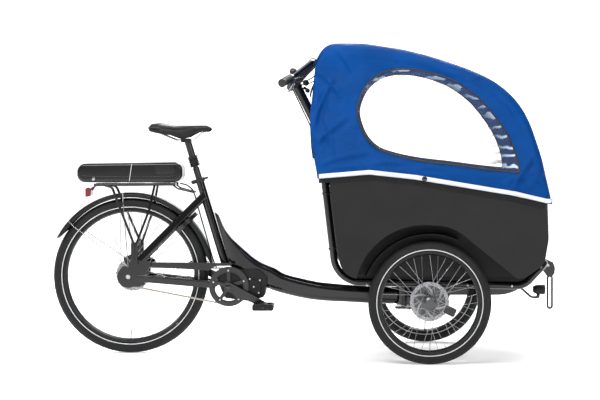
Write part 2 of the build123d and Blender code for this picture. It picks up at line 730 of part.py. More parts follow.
# ---------------------------------------------------------------- box frame
CRADLE_Y = 282.0
CRADLE_R = 15.0
FRONT_BAR = (1736.0, 402.0)
REAR_BAR = (836.0, 714.0)
hoop_side = [(837, 733), (885, 329), (1650, 311.5), FRONT_BAR]
hoop = [pos(x, z, -CRADLE_Y) for x, z in hoop_side] + [pos(x, z, CRADLE_Y) for x, z in reversed(hoop_side)]
cradle_rods = [bent_rod(hoop, CRADLE_R, [110, 70, 40, 40, 70, 110])]
cradle_rods.append(bent_rod([pos(*REAR_BAR, -CRADLE_Y), pos(*REAR_BAR, CRADLE_Y)], 13.0, 0))
for x, z in ((960, 325.5), (1420, 316), (1600, 312.5)):
    cradle_rods.append(bent_rod([pos(x, z, -CRADLE_Y), pos(x, z, CRADLE_Y)], 12.0, 0))
with BuildPart() as cradle_frame:
    add(cradle_rods)
save(cradle_frame, "cradle_frame")

BEAM_R = 20.0
BEAM_END = 299.0
CALIPER_X, CALIPER_Z = WHEELBASE + 92 * cos(radians(-25)), FRONT_R + 92 * sin(radians(-25))
with BuildPart() as underframe:
    with BuildSketch(at_y(BEAM_END)):
        with Locations(flat(WHEELBASE, FRONT_R)):
            Circle(BEAM_R)
    extrude(amount=2 * BEAM_END)
    with BuildSketch(at_y(HALF_TRACK + 35)):
        with Locations(flat(WHEELBASE, FRONT_R)):
            Circle(STUB_R)
    extrude(amount=2 * (HALF_TRACK + 35))
    with BuildSketch(Plane.XY.offset(290)):
        with Locations((REAR_X + 1195, 0)):
            RectangleRounded(180, 120, 20)
    extrude(amount=10.8)
    with BuildSketch(Plane.XY.offset(190)):
        with Locations((REAR_X + 1200, 0)):
            RectangleRounded(150, 84, 20)
    extrude(amount=10)
    with BuildSketch(at_y(26)):
        Polygon(flat(1214, 194), flat(1214, 296), flat(1284, 296), flat(1290, 194), align=None)
    extrude(amount=52)
    with BuildSketch(Plane.XY.offset(190)):
        with Locations((REAR_X + PIVOT_X, 0)):
            Circle(KINGPIN_R)
    extrude(amount=109)
    with BuildSketch(at_y(22)):
        with BuildLine():
            Polyline(flat(1270, 297), flat(1270, 247), flat(1560, 247))
            TangentArc(flat(1560, 247), flat(1662, 278), tangent=(1, 0))
            Polyline(flat(1662, 278), flat(1662, 297), flat(1270, 297))
        make_face()
    extrude(amount=44)
    for side in SIDES:
        with BuildSketch(at_y(side * CRADLE_Y + 7)):
            Polygon(flat(1246, 250), flat(1246, 304.4), flat(1281, 303.8), flat(1281, 250), align=None)
        extrude(amount=14)
        with BuildSketch(at_y(side * 283.5 + 3)):
            with Locations(flat(WHEELBASE, FRONT_R)):
                Circle(BEAM_R)
            with Locations(flat(CALIPER_X, CALIPER_Z)):
                Circle(13)
            make_hull()
        extrude(amount=6)
    with BuildSketch(at_y(CRADLE_Y - CRADLE_R - 1)):
        with Locations(flat(1150, 311.9)):
            Circle(12)
    extrude(amount=2 * (CRADLE_Y - CRADLE_R - 1))
save(underframe, "underframe")

with BuildPart() as front_calipers:
    for side in SIDES:
        outer_y = 314.0 if side == LEFT else -287.0
        with BuildSketch(at_y(outer_y)):
            with Locations(flat(CALIPER_X, CALIPER_Z)):
                RectangleRounded(48, 34, 7, rotation=-25)
        extrude(amount=27)
        with BuildSketch(at_y(side * (HALF_TRACK - 39) + 2.5)):
            with Locations(flat(WHEELBASE, FRONT_R)):
                Circle(83)
        extrude(amount=5, mode=Mode.SUBTRACT)
save(front_calipers, "front_calipers")

# ---------------------------------------------------------------- box, rim and bench
BOX_HALF_LOW, BOX_HALF_HIGH = 405.0, 421.0
BOX_WALL = 6.0
ARCH_Y = 298.0
RIM_TOP = ((815, 752), (1021, 769), (1206, 749), (1405, 716), (1604, 683), (1745, 649.5))
RIM_HIGH = 17.0


def box_body(inset):
    """The box as a solid block with a level top, shrunk by an inset."""
    top = 800
    with BuildPart() as body:
        with BuildSketch(at_y(450)):
            with BuildLine():
                FilletPolyline(flat(853, top), flat(908, 352), flat(1640, 350), flat(1722, 410),
                               flat(1738, 510),
                               flat(1728, top), radius=[80, 90, 70, 120])
                Line(flat(1728, top), flat(853, top))
            make_face()
            if inset:
                offset(amount=-inset)
        extrude(amount=900)
        with BuildSketch(Plane.YZ.offset(REAR_X + 800)):
            Polygon((BOX_HALF_LOW - inset, 340), (BOX_HALF_HIGH - inset, 800),
                    (inset - BOX_HALF_HIGH, 800), (inset - BOX_HALF_LOW, 340), align=None)
        extrude(amount=1000, mode=Mode.INTERSECT)
        for side in SIDES:
            outer_y = 460.0 if side == LEFT else inset - ARCH_Y
            with BuildSketch(at_y(outer_y)):
                with BuildLine():
                    ThreePointArc(flat(964, 335), flat(1066, 507), flat(1273, 566))
                    ThreePointArc(flat(1273, 566), flat(1340, 557), flat(1398, 525))
                    Polyline(flat(1398, 525), flat(1620, 345), flat(1620, 335), flat(964, 335))
                make_face()
                if inset:
                    offset(amount=inset)
            extrude(amount=460 - ARCH_Y + inset, mode=Mode.SUBTRACT)
    return body.part


box_outer = box_body(0)
box_inner = box_body(BOX_WALL)
with BuildPart() as box_shell:
    add(box_outer)
    add(box_inner, mode=Mode.SUBTRACT)
    with BuildSketch(at_y(450)):
        Polygon(*[flat(x, z - RIM_HIGH - 0.4) for x, z in RIM_TOP], flat(1790, 632), flat(1790, 900),
                flat(815, 900), align=None)
    extrude(amount=900, mode=Mode.SUBTRACT)
save(box_shell, "box_shell")

RIM_FRONT, RIM_HALF = 1737.0, 424.5
with BuildPart() as box_rim:
    with BuildSketch(at_y(450)):
        Polygon(*[flat(x, z) for x, z in RIM_TOP], *[flat(x, z - RIM_HIGH) for x,
                                                     z in reversed(RIM_TOP)], align=None)
    extrude(amount=900)
    with BuildSketch(Plane.XY.offset(600)):
        with Locations((REAR_X + (815 + RIM_FRONT) / 2, 0)):
            RectangleRounded(RIM_FRONT - 815, 2 * RIM_HALF, 40)
        with Locations((REAR_X + (872 + 1722) / 2, 0)):
            RectangleRounded(1722 - 872, 820, 30, mode=Mode.SUBTRACT)
        with Locations((REAR_X + 828, 0)):
            Rectangle(58, 44, mode=Mode.SUBTRACT)
    extrude(amount=200, mode=Mode.INTERSECT)
save(box_rim, "box_rim")

BENCH_LOW = 576.0
with BuildPart() as bench:
    with BuildSketch(Plane.XY.offset(BENCH_LOW)):
        with Locations((REAR_X + 1035, 0)):
            Rectangle(284, 800)
    extrude(amount=14)
    with BuildSketch(Plane.XY.offset(BENCH_LOW + 14.3)):
        with Locations((REAR_X + 1033, 0)):
            RectangleRounded(270, 780, 24)
    extrude(amount=48)
save(bench, "bench")

# ---------------------------------------------------------------- rain canopy
CLOTH = 2.4
CANOPY_HALF = 430.0


CANOPY_LIFT = 1.5        # of the lower edge above the rim
CANOPY_MIDDLE = (1270.0, 880.0)
CANOPY_BACK = ((812, 756), (790, 870), (780, 990), (789, 1110), (800, 1235))
CANOPY_TOP = ((800, 1235), (845, 1298), (980, 1305), (1176, 1276), (1373, 1218), (1530, 1146), (1640, 1036),
              (1704, 870), (1750, 652))


def inward(x, z, inset):
    """A point of the side view moved towards the middle of the canopy."""
    reach = hypot(x - CANOPY_MIDDLE[0], z - CANOPY_MIDDLE[1])
    share = 1 - inset / reach
    return flat(CANOPY_MIDDLE[0] + (x - CANOPY_MIDDLE[0]) * share,
                CANOPY_MIDDLE[1] + (z - CANOPY_MIDDLE[1]) * share)


def canopy_body(inset, drop=0.0):
    """The canopy as a solid block, shrunk by an inset; drop lowers its underside."""
    back = [inward(x, z, inset) for x, z in CANOPY_BACK]
    top = [inward(x, z, inset) for x, z in CANOPY_TOP]
    hem = [flat(x, z + CANOPY_LIFT - drop) for x, z in reversed(RIM_TOP[1:-1])]
    low_front, low_back = (top[-1][0] + 2, top[-1][1] - drop), (back[0][0] + 2, back[0][1] - drop)
    half, slope_half, roof_half, roof = CANOPY_HALF - inset, 290 - inset, 283 - inset, 1310 - inset
    with BuildPart() as body:
        with BuildSketch(at_y(450)):
            with BuildLine():
                Spline(*back)
                Spline(*top)
                if drop:
                    Polyline(top[-1], low_front, *hem, low_back, back[0])
                else:
                    Polyline(top[-1], *hem, back[0])
            make_face()
        extrude(amount=900)
        with BuildSketch(Plane.YZ.offset(REAR_X + 740)):
            with BuildLine():
                FilletPolyline((-half, 500), (-half, 775), (-slope_half, 1185), (-roof_half, roof),
                               (roof_half, roof), (slope_half, 1185), (half, 775), (half, 500),
                               radius=[300, 200, 50, 50, 200, 300])
                Line((half, 500), (-half, 500))
            make_face()
        extrude(amount=1040, mode=Mode.INTERSECT)
    return body.part


def window_prism():
    with BuildPart() as prism:
        with BuildSketch(at_y(450)):
            with BuildLine():
                Spline(flat(1622, 777), flat(1606, 855), flat(1524, 1006), flat(1396, 1130), flat(1251, 1189),
                       flat(1149, 1204), flat(1054, 1178), flat(988, 1100), flat(969, 1012), flat(1004, 920),
                       flat(1119, 848), flat(1376, 806), flat(1560, 780))
                Line(flat(1560, 780), flat(1622, 777))
            make_face()
        extrude(amount=900)
    return prism.part


window_cut = window_prism()
with BuildPart() as canopy:
    add(canopy_body(0))
    add(canopy_body(CLOTH, 60), mode=Mode.SUBTRACT)
    add(window_cut, mode=Mode.SUBTRACT)
    with BuildSketch(at_y(24)):
        Polygon(flat(700, 700), flat(860, 700), flat(860, 900), flat(820, 1030), flat(700, 1030), align=None)
    extrude(amount=48, mode=Mode.SUBTRACT)
save(canopy, "canopy")

with BuildPart() as canopy_windows:
    add(canopy_body(0.8))
    add(canopy_body(1.6), mode=Mode.SUBTRACT)
    add(window_cut, mode=Mode.INTERSECT)
save(canopy_windows, "canopy_windows")

HOOP_R = 5.0
POLE_SIDE = ((826, 760, 405), (806, 900, 360), (800, 1060, 312), (818, 1218, 262), (880, 1285, 255),
             (1010, 1284, 255), (1176, 1259, 255), (1373, 1201, 258), (1515, 1136, 268), (1612, 1042, 290),
             (1672, 905, 340), (1712, 700, 400))
poles = []
for side in SIDES:
    poles.append(bent_rod([pos(x, z, side * y) for x, z, y in POLE_SIDE], HOOP_R,
                          [300, 300, 60, 50, 300, 500, 500, 200, 200, 200]))
for x, z, y in (POLE_SIDE[3], POLE_SIDE[6], POLE_SIDE[8], POLE_SIDE[10]):
    poles.append(bent_rod([pos(x, z, -y), pos(x, z, y)], HOOP_R, 0))
save(group(poles), "canopy_hoops")

# ---------------------------------------------------------------- steering arm and handlebar
ARM_R = 19.0
STEM_X, STEM_Z = 701.0, 1149.0
BAR_X, BAR_Z = 777.0, 1238.0
BAR_R = 11.0
STEM_PIN_R = 6.0
arm_rod = bent_rod([pos(836, 716), pos(827, 868), pos(776, 1000), pos(STEM_X, STEM_Z)], ARM_R, [220, 220])
with BuildPart() as steering_arm:
    add(arm_rod)
    with BuildSketch(at_y(ARM_R)):
        with Locations(flat(STEM_X, STEM_Z)):
            Circle(21)
    extrude(amount=2 * ARM_R)
    with BuildSketch(at_y(30)):
        with Locations(flat(STEM_X, STEM_Z)):
            Circle(STEM_PIN_R)
    extrude(amount=60)
    with BuildSketch(at_y(100)):
        with Locations(flat(*REAR_BAR)):
            Circle(13)
    extrude(amount=200, mode=Mode.SUBTRACT)
save(steering_arm, "steering_arm")

SWEEP_DIR = Vector(-118, 0, -102).normalized()
UNDER_DIR = Vector(102, 0, -118).normalized()
BAR_CENTRE = Vector(*pos(BAR_X, BAR_Z))
BAR_HALF = ((0, 0), (0, 70), (105, 175), (150, 305))
GRIP_LONG, GRIP_R = 104.0, 16.0


def bar_point(back, out, side):
    """A point of the handlebar's own sloping plane."""
    return BAR_CENTRE + SWEEP_DIR * back + Vector(0, side * out, 0)


def grip_axis(side):
    start, end = bar_point(*BAR_HALF[2], side), bar_point(*BAR_HALF[3], side)
    return start, (end - start).normalized(), end


bar_points = [bar_point(back, out, RIGHT) for back, out in reversed(BAR_HALF[1:])]
bar_points += [bar_point(back, out, LEFT) for back, out in BAR_HALF[1:]]
bar_rod = bent_rod(bar_points, BAR_R, 40.0)
LEVER_ROOT, LEVER_DROP = 22.0, 28.0
with BuildPart() as handlebar:
    for side in SIDES:
        with BuildSketch(at_y(28.5 if side == LEFT else -20.5)):
            with Locations(flat(STEM_X, STEM_Z)):
                Circle(17)
            with Locations(flat(BAR_X, BAR_Z)):
                Circle(17)
            make_hull()
            with Locations(flat(STEM_X, STEM_Z)):
                Circle(STEM_PIN_R + RUN_CLEARANCE, mode=Mode.SUBTRACT)
        extrude(amount=8)
    with BuildSketch(at_y(28.5)):
        with Locations(flat(BAR_X, BAR_Z)):
            Circle(17)
    extrude(amount=57)
    add(bar_rod)
    for side in SIDES:
        start, along, _ = grip_axis(side)
        with BuildSketch(Plane(origin=start + along * (LEVER_ROOT - 8), z_dir=along)):
            Circle(15.5)
        extrude(amount=16)
        pivot = start + along * LEVER_ROOT + UNDER_DIR * LEVER_DROP
        with BuildSketch(Plane(origin=pivot, x_dir=along, z_dir=along.cross(UNDER_DIR)).offset(-8.4)):
            with Locations((0, -8)):
                RectangleRounded(15, 30, 6)
        extrude(amount=16.8)
        with BuildSketch(Plane(origin=pivot, x_dir=along, z_dir=along.cross(UNDER_DIR)).offset(-5.4)):
            with Locations((6, 1)):
                Rectangle(40, 27)
        extrude(amount=10.8, mode=Mode.SUBTRACT)
        with BuildSketch(Plane(origin=pivot, x_dir=along, z_dir=along.cross(UNDER_DIR)).offset(-8.4)):
            Circle(2.5)
        extrude(amount=16.8)
save(handlebar, "handlebar")

with BuildPart() as grips:
    for side in SIDES:
        _, along, end = grip_axis(side)
        with BuildSketch(Plane(origin=end - along * (GRIP_LONG - 3), z_dir=along)):
            Circle(GRIP_R)
        extrude(amount=GRIP_LONG)
        with BuildSketch(Plane(origin=end - along * (GRIP_LONG + 3), z_dir=along)):
            Circle(BAR_R + 0.1)
        extrude(amount=GRIP_LONG + 3.5, mode=Mode.SUBTRACT)
save(grips, "grips")

for side, word in ((RIGHT, "right"), (LEFT, "left")):
    start, along, _ = grip_axis(side)
    pivot = start + along * LEVER_ROOT + UNDER_DIR * LEVER_DROP
    with BuildPart() as brake_lever:
        with BuildSketch(Plane(origin=pivot, x_dir=along, z_dir=along.cross(UNDER_DIR)).offset(-5)):
            Circle(6.5)
            Polygon((0, -4), (30, 0), (112, 12), (118, 15), (116, 19), (30, 8), (0, 6.5), align=None)
            Circle(2.5 + RUN_CLEARANCE, mode=Mode.SUBTRACT)
        extrude(amount=10)
    save(brake_lever, f"brake_lever_{word}")

# ---------------------------------------------------------------- front fittings
LOOP_X, LOOP_Z, LOOP_PIN_R = 1786.0, 334.0, 4.0
LAMP_PIN_X, LAMP_PIN_Z = 1737.0, 239.0
lamp_arm = bent_rod([pos(1655, 282), pos(1706, 237), pos(1728, 234)], 5.0, 20.0)
with BuildPart() as front_brackets:
    with BuildSketch(at_y(14)):
        Polygon(flat(1746, 396), flat(1768, 400), flat(1800, 384), flat(1808, 362), flat(1806, 340),
                flat(1796, 325),
                flat(1774, 326), flat(1752, 356), align=None)
    extrude(amount=28)
    with BuildSketch(at_y(40)):
        with Locations(flat(*FRONT_BAR)):
            Circle(CRADLE_R + 0.05)
    extrude(amount=80, mode=Mode.SUBTRACT)
    with BuildSketch(at_y(6.5)):
        Polygon(flat(1770, 310), flat(1770, 347), flat(1815, 347), flat(1815, 310), align=None)
    extrude(amount=13, mode=Mode.SUBTRACT)
    with BuildSketch(at_y(14)):
        with Locations(flat(LOOP_X, LOOP_Z)):
            Circle(LOOP_PIN_R)
    extrude(amount=28)
    add(lamp_arm)
    with BuildSketch(at_y(9)):
        with Locations(flat(LAMP_PIN_X, LAMP_PIN_Z)):
            Circle(6)
        Polygon(flat(1722, 230), flat(1740, 233), flat(1737, 245), flat(1722, 239), align=None)
    extrude(amount=18)
    with BuildSketch(at_y(4.5)):
        with Locations(flat(LAMP_PIN_X + 2, LAMP_PIN_Z + 2)):
            Circle(9.5)
    extrude(amount=9, mode=Mode.SUBTRACT)
    with BuildSketch(at_y(9)):
        with Locations(flat(LAMP_PIN_X, LAMP_PIN_Z)):
            Circle(2.5)
    extrude(amount=18)
    with BuildSketch(at_y(22)):
        Polygon(flat(1600, 240), flat(1662.2, 240), flat(1662.2, 300), flat(1600, 300), align=None)
    extrude(amount=44, mode=Mode.SUBTRACT)
save(front_brackets, "front_brackets")

with BuildPart() as front_loop:
    with BuildSketch(at_y(4.5)):
        with Locations(flat(LOOP_X, 258)):
            SlotOverall(146, 28, rotation=90)
            SlotOverall(128, 10, rotation=90, mode=Mode.SUBTRACT)
        with Locations(flat(LOOP_X, LOOP_Z)):
            Circle(9)
            Circle(LOOP_PIN_R + RUN_CLEARANCE, mode=Mode.SUBTRACT)
    extrude(amount=9)
save(front_loop, "front_loop")

with BuildPart() as headlight:
    with BuildSketch(Plane(origin=pos(1714, 269), x_dir=(1, 0, 0), z_dir=(0, -1, 0))):
        Polygon((0, 0), (0, 12), (12, 19), (40, 21.5), (50, 21.5), (52, 18), (52, 0), align=None)
    revolve(axis=Axis(pos(1714, 269), (1, 0, 0)))
    with BuildSketch(at_y(4)):
        with Locations(flat(LAMP_PIN_X, LAMP_PIN_Z)):
            Circle(6)
        Polygon(flat(1731, 239), flat(1743, 239), flat(1746, 256), flat(1728, 256), align=None)
        with Locations(flat(LAMP_PIN_X, LAMP_PIN_Z)):
            Circle(2.5 + RUN_CLEARANCE, mode=Mode.SUBTRACT)
    extrude(amount=8)
save(headlight, "headlight")
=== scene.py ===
"""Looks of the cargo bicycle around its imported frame: cloth, tyres, chain, hoses, materials and light."""
import bpy
import bmesh
import json
import math
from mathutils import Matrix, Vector
from mathutils import noise


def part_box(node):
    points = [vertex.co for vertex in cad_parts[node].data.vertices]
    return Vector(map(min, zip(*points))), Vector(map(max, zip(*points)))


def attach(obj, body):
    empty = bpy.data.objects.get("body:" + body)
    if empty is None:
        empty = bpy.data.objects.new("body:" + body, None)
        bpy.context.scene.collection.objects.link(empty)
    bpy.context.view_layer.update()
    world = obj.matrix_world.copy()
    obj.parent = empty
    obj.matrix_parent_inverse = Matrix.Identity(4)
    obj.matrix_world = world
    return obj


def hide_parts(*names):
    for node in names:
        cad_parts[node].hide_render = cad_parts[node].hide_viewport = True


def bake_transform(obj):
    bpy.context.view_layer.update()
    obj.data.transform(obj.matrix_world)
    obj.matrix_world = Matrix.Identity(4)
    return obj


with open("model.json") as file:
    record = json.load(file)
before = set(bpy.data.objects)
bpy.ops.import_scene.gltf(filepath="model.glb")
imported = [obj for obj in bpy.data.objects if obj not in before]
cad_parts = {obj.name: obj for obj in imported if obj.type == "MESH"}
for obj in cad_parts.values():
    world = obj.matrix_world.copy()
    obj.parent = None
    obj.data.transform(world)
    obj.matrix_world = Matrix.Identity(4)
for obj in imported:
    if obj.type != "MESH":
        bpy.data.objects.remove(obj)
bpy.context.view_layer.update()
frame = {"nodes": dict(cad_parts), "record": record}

# Driving dimensions in mm, as the CAD has them.
# A side-view place is (x ahead of the rear axle, z above the ground).
REAR_X = -739.25                 # the rear axle in the row frame
REAR_AXLE = (0, 329.5)
FRONT_AXLE = (1263.5, 250)
CRANK = (422.5, 286.6)
HALF_TRACK = 345                 # from the middle plane to a front wheel
SIDES = ((-1, "right"), (1, "left"))


def P(x, z, y=0.0):
    """Row-frame point, metres, from mm ahead of the rear axle, above the ground and to the left."""
    return Vector(((REAR_X + x) / 1000, y / 1000, z / 1000))


# ---------------------------------------------------------------- materials
M = {}
ROUGH_DRIFT = 0.06               # how far roughness wanders where a material varies


def add_node(tree, kind, inputs=None, **settings):
    """A shader node with its settings and the values of the inputs that stay unlinked."""
    made = tree.nodes.new("ShaderNode" + kind)
    for key, value in settings.items():
        setattr(made, key, value)
    for key, value in (inputs or {}).items():
        made.inputs[key].default_value = value
    return made


def material(name, colour, rough, metal=0.0, coat=0.0, vary=0.0, bump=0.0, scale=300.0, alpha=1.0, gloss=0.5):
    """A material kept in M: vary is the drift of its colour, bump and scale are its fine grain."""
    m = bpy.data.materials.new(name)
    M[name] = m
    m.use_nodes = True
    tree = m.node_tree
    link = tree.links.new
    p = tree.nodes["Principled BSDF"]
    for key, value in (("Base Color", (*colour, 1)), ("Roughness", rough), ("Metallic", metal),
                       ("Coat Weight", coat), ("Alpha", alpha), ("Specular IOR Level", gloss)):
        p.inputs[key].default_value = value
    place = add_node(tree, "TexCoord").outputs["Object"]
    if vary:
        grain = add_node(tree, "TexNoise", {"Scale": 9.0, "Detail": 6.0})
        ramp = add_node(tree, "ValToRGB")
        for end, spot, sign in zip(ramp.color_ramp.elements, (0.3, 0.7), (-1, 1)):
            end.position = spot
            end.color = (*[min(1, c * (1 + sign * vary)) for c in colour], 1)
        worn = add_node(tree, "MapRange", {"To Min": max(0.02, rough - ROUGH_DRIFT),
                                           "To Max": min(1, rough + ROUGH_DRIFT)})
        link(place, grain.inputs["Vector"])
        link(grain.outputs["Fac"], ramp.inputs["Fac"])
        link(ramp.outputs["Color"], p.inputs["Base Color"])
        link(grain.outputs["Fac"], worn.inputs["Value"])
        link(worn.outputs["Result"], p.inputs["Roughness"])
    if bump:
        fine = add_node(tree, "TexNoise", {"Scale": scale, "Detail": 3.0})
        raised = add_node(tree, "Bump", {"Strength": bump, "Distance": 0.001})
        link(place, fine.inputs["Vector"])
        link(fine.outputs["Fac"], raised.inputs["Height"])
        link(raised.outputs["Normal"], p.inputs["Normal"])
    return m


def cloth_material(name, colour, rough, bump):
    """Woven coated cloth: soft colour drift, fine weave, broad shallow creases, some light through it."""
    m = material(name, colour, rough, vary=0.12, gloss=0.12)
    tree = m.node_tree
    link = tree.links.new
    p = tree.nodes["Principled BSDF"]
    place = add_node(tree, "TexCoord").outputs["Object"]
    weave = add_node(tree, "TexWave", {"Scale": 420.0})
    crease_noise = add_node(tree, "TexNoise", {"Scale": 13.0, "Detail": 4.0, "Distortion": 0.8})
    small = add_node(tree, "Bump", {"Strength": 0.12, "Distance": 0.0006})
    broad = add_node(tree, "Bump", {"Strength": bump, "Distance": 0.012})
    link(place, weave.inputs["Vector"])
    link(place, crease_noise.inputs["Vector"])
    link(weave.outputs["Fac"], small.inputs["Height"])
    link(crease_noise.outputs["Fac"], broad.inputs["Height"])
    link(broad.outputs["Normal"], small.inputs["Normal"])
    link(small.outputs["Normal"], p.inputs["Normal"])
    glow = (colour[0], min(1, colour[1] * 2.6), min(1, colour[2] * 1.5), 1)
    through = add_node(tree, "BsdfTranslucent", {"Color": glow})
    blend = add_node(tree, "MixShader", {"Fac": 0.38})
    link(p.outputs["BSDF"], blend.inputs[1])
    link(through.outputs["BSDF"], blend.inputs[2])
    link(blend.outputs["Shader"], tree.nodes["Material Output"].inputs["Surface"])


def film_material():
    """Clear flexible film: almost invisible, with pale wavering streaks of painted reflection towards its
    front and upper edges.
    """
    m = material("window_film", (0.62, 0.76, 0.90), 0.12, alpha=0.08)
    tree = m.node_tree
    link = tree.links.new
    place = add_node(tree, "TexCoord").outputs["Object"]
    # the streaks of painted reflection come up towards an ellipse that the window's front and upper edges
    # roughly follow
    centre = add_node(tree, "VectorMath", {1: (0.44, 0.0, 0.84)}, operation="SUBTRACT")
    shrink = add_node(tree, "VectorMath", {1: (2.45, 0.0, 2.75)}, operation="MULTIPLY")
    reach = add_node(tree, "VectorMath", operation="LENGTH")
    near_edge = add_node(tree, "MapRange", {"From Min": 0.86, "From Max": 1.02})
    reflection_streak = add_node(tree, "TexWave", {"Scale": 8.0, "Distortion": 5.0, "Detail": 2.0, "Detail Scale": 2.2},
                      bands_direction="Z")
    sharp = add_node(tree, "MapRange", {"From Min": 0.66, "From Max": 0.90})
    both = add_node(tree, "Math", operation="MULTIPLY")
    # the film turns pale and less clear in the painted reflection streaks
    clear = add_node(tree, "MapRange", {"To Min": 0.05, "To Max": 0.72})
    link(place, centre.inputs[0])
    link(centre.outputs["Vector"], shrink.inputs[0])
    link(shrink.outputs["Vector"], reach.inputs[0])
    link(reach.outputs["Value"], near_edge.inputs["Value"])
    link(place, reflection_streak.inputs["Vector"])
    link(reflection_streak.outputs["Fac"], sharp.inputs["Value"])
    link(near_edge.outputs["Result"], both.inputs[0])
    link(sharp.outputs["Result"], both.inputs[1])
    link(both.outputs["Value"], clear.inputs["Value"])
    link(clear.outputs["Result"], tree.nodes["Principled BSDF"].inputs["Alpha"])


material("frame_paint", (0.002, 0.002, 0.0022), 0.2, gloss=0.3, coat=0.45, vary=0.2, bump=0.05, scale=700)
material("black_alloy", (0.010, 0.010, 0.0105), 0.30, metal=0.35, coat=0.4, vary=0.2, bump=0.05, scale=900)
material("black_plastic", (0.006, 0.006, 0.0063), 0.42, gloss=0.3, vary=0.2, bump=0.12, scale=1200)
material("battery_plastic", (0.004, 0.004, 0.0045), 0.30, gloss=0.3, coat=0.35, vary=0.2, bump=0.08,
         scale=1400)
material("gloss_black", (0.006, 0.006, 0.007), 0.12, coat=0.5, vary=0.1)
material("box_plastic", (0.013, 0.0132, 0.0138), 0.5, vary=0.12, bump=0.3, scale=650, gloss=0.2)
material("rim_band", (0.005, 0.005, 0.0055), 0.5, vary=0.15, bump=0.15, scale=800, gloss=0.25)
material("tyre_rubber", (0.010, 0.010, 0.0105), 0.68, vary=0.25, bump=0.3, scale=900, gloss=0.28)
material("reflective", (0.62, 0.64, 0.66), 0.4, metal=0.1, vary=0.08, bump=0.1, scale=1500)
material("rim_black", (0.010, 0.010, 0.011), 0.28, metal=0.4, vary=0.15, bump=0.04)
material("spoke_steel", (0.36, 0.365, 0.375), 0.28, metal=1.0, vary=0.08)
material("hub_alloy", (0.10, 0.10, 0.105), 0.3, metal=0.9, vary=0.15, bump=0.08, scale=900)
material("steel", (0.55, 0.56, 0.58), 0.3, metal=1.0, vary=0.1, bump=0.08, scale=900)
material("disc_steel", (0.42, 0.42, 0.43), 0.3, metal=1.0, vary=0.1, bump=0.2, scale=500)
material("chain_steel", (0.34, 0.31, 0.27), 0.34, metal=1.0, vary=0.25, bump=0.1, scale=900)
material("silver_alloy", (0.24, 0.245, 0.25), 0.28, metal=1.0, vary=0.08, bump=0.06, scale=800)
material("saddle_cover", (0.005, 0.005, 0.0055), 0.36, vary=0.15, bump=0.3, scale=480, gloss=0.3)
material("grip_rubber", (0.011, 0.011, 0.012), 0.62, vary=0.2, bump=0.3, scale=900)
material("cable_jacket", (0.008, 0.008, 0.009), 0.34, vary=0.1)
cloth_material("canopy_cloth", (0.0, 0.070, 0.305), 0.5, 0.9)
cloth_material("flap_cloth", (0.010, 0.010, 0.012), 0.62, 0.4)
cloth_material("cushion_cloth", (0.018, 0.018, 0.020), 0.7, 0.3)
material("piping", (0.010, 0.011, 0.014), 0.42, vary=0.15, bump=0.3, scale=900)
film_material()
material("tail_lens", (0.16, 0.002, 0.003), 0.14, coat=0.6, vary=0.1)
material("clear_lens", (0.72, 0.74, 0.76), 0.12, metal=0.5, coat=0.6, vary=0.05)

for entry in frame["record"]["subparts"]:
    node = frame["nodes"][entry["node"]]
    node.data.materials.clear()
    node.data.materials.append(M[entry["material_slot"]])


# ---------------------------------------------------------------- mesh helpers
def mesh(name, verts, faces, mat, body, slot=None, smooth=True):
    """A piece with its faces turned outward, riding a body, in its material; slot is not used."""
    data = bpy.data.meshes.new(name)
    data.from_pydata([tuple(v) for v in verts], [], faces)
    data.update()
    fix = bmesh.new()
    fix.from_mesh(data)
    bmesh.ops.recalc_face_normals(fix, faces=fix.faces)
    fix.to_mesh(data)
    fix.free()
    if smooth:
        data.shade_smooth()
    obj = bpy.data.objects.new(name, data)
    bpy.context.collection.objects.link(obj)
    data.materials.append(M[mat])
    if body:
        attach(obj, body)
    return obj


def thicken(obj, thickness, offset=-1):
    """Gives a sheet its thickness, in metres: inward with offset -1, to both sides with 0."""
    shell = obj.modifiers.new("thickness", "SOLIDIFY")
    shell.thickness = thickness
    shell.offset = offset


def grid_faces(rows, cols, wrap_rows=False, wrap_cols=False):
    faces = []
    for i in range(rows if wrap_rows else rows - 1):
        for j in range(cols if wrap_cols else cols - 1):
            below = (i + 1) % rows
            beside = (j + 1) % cols
            faces.append((i * cols + j, i * cols + beside, below * cols + beside, below * cols + j))
    return faces


def add_prism(verts, faces, outline, y0, y1):
    """Adds a prism between two planes across the cycle to verts and faces."""
    base = len(verts)
    n = len(outline)
    for y in (y0, y1):
        verts.extend(P(x, z, y) for x, z in outline)
    faces.append(tuple(range(base, base + n)))
    faces.append(tuple(range(base + 2 * n - 1, base + n - 1, -1)))
    for k in range(n):
        faces.append((base + k, base + (k + 1) % n, base + n + (k + 1) % n, base + n + k))


def arc(centre, radius, first, last, steps):
    """Side-view points round a centre, both ends included."""
    angles = [first + (last - first) * k / steps for k in range(steps + 1)]
    return [(centre[0] + radius * math.cos(a), centre[1] + radius * math.sin(a)) for a in angles]


def lathe(name, outline, centre, axis, mat, body, turns=96, closed=False, slot=None, ripple=None):
    """A turned piece: outline is (radius, distance along the axis) in mm, ripple is added to the radius."""
    axis = Vector(axis).normalized()
    side = axis.orthogonal().normalized()
    other = axis.cross(side)
    verts = []
    for i in range(turns):
        a = 2 * math.pi * i / turns
        for r, h in outline:
            grow = ripple(i, r, h) if ripple else 0.0
            around = (side * math.cos(a) + other * math.sin(a)) * (r + grow) / 1000
            verts.append(centre + around + axis * h / 1000)
    return mesh(name, verts, grid_faces(turns, len(outline), True, closed), mat, body, slot)


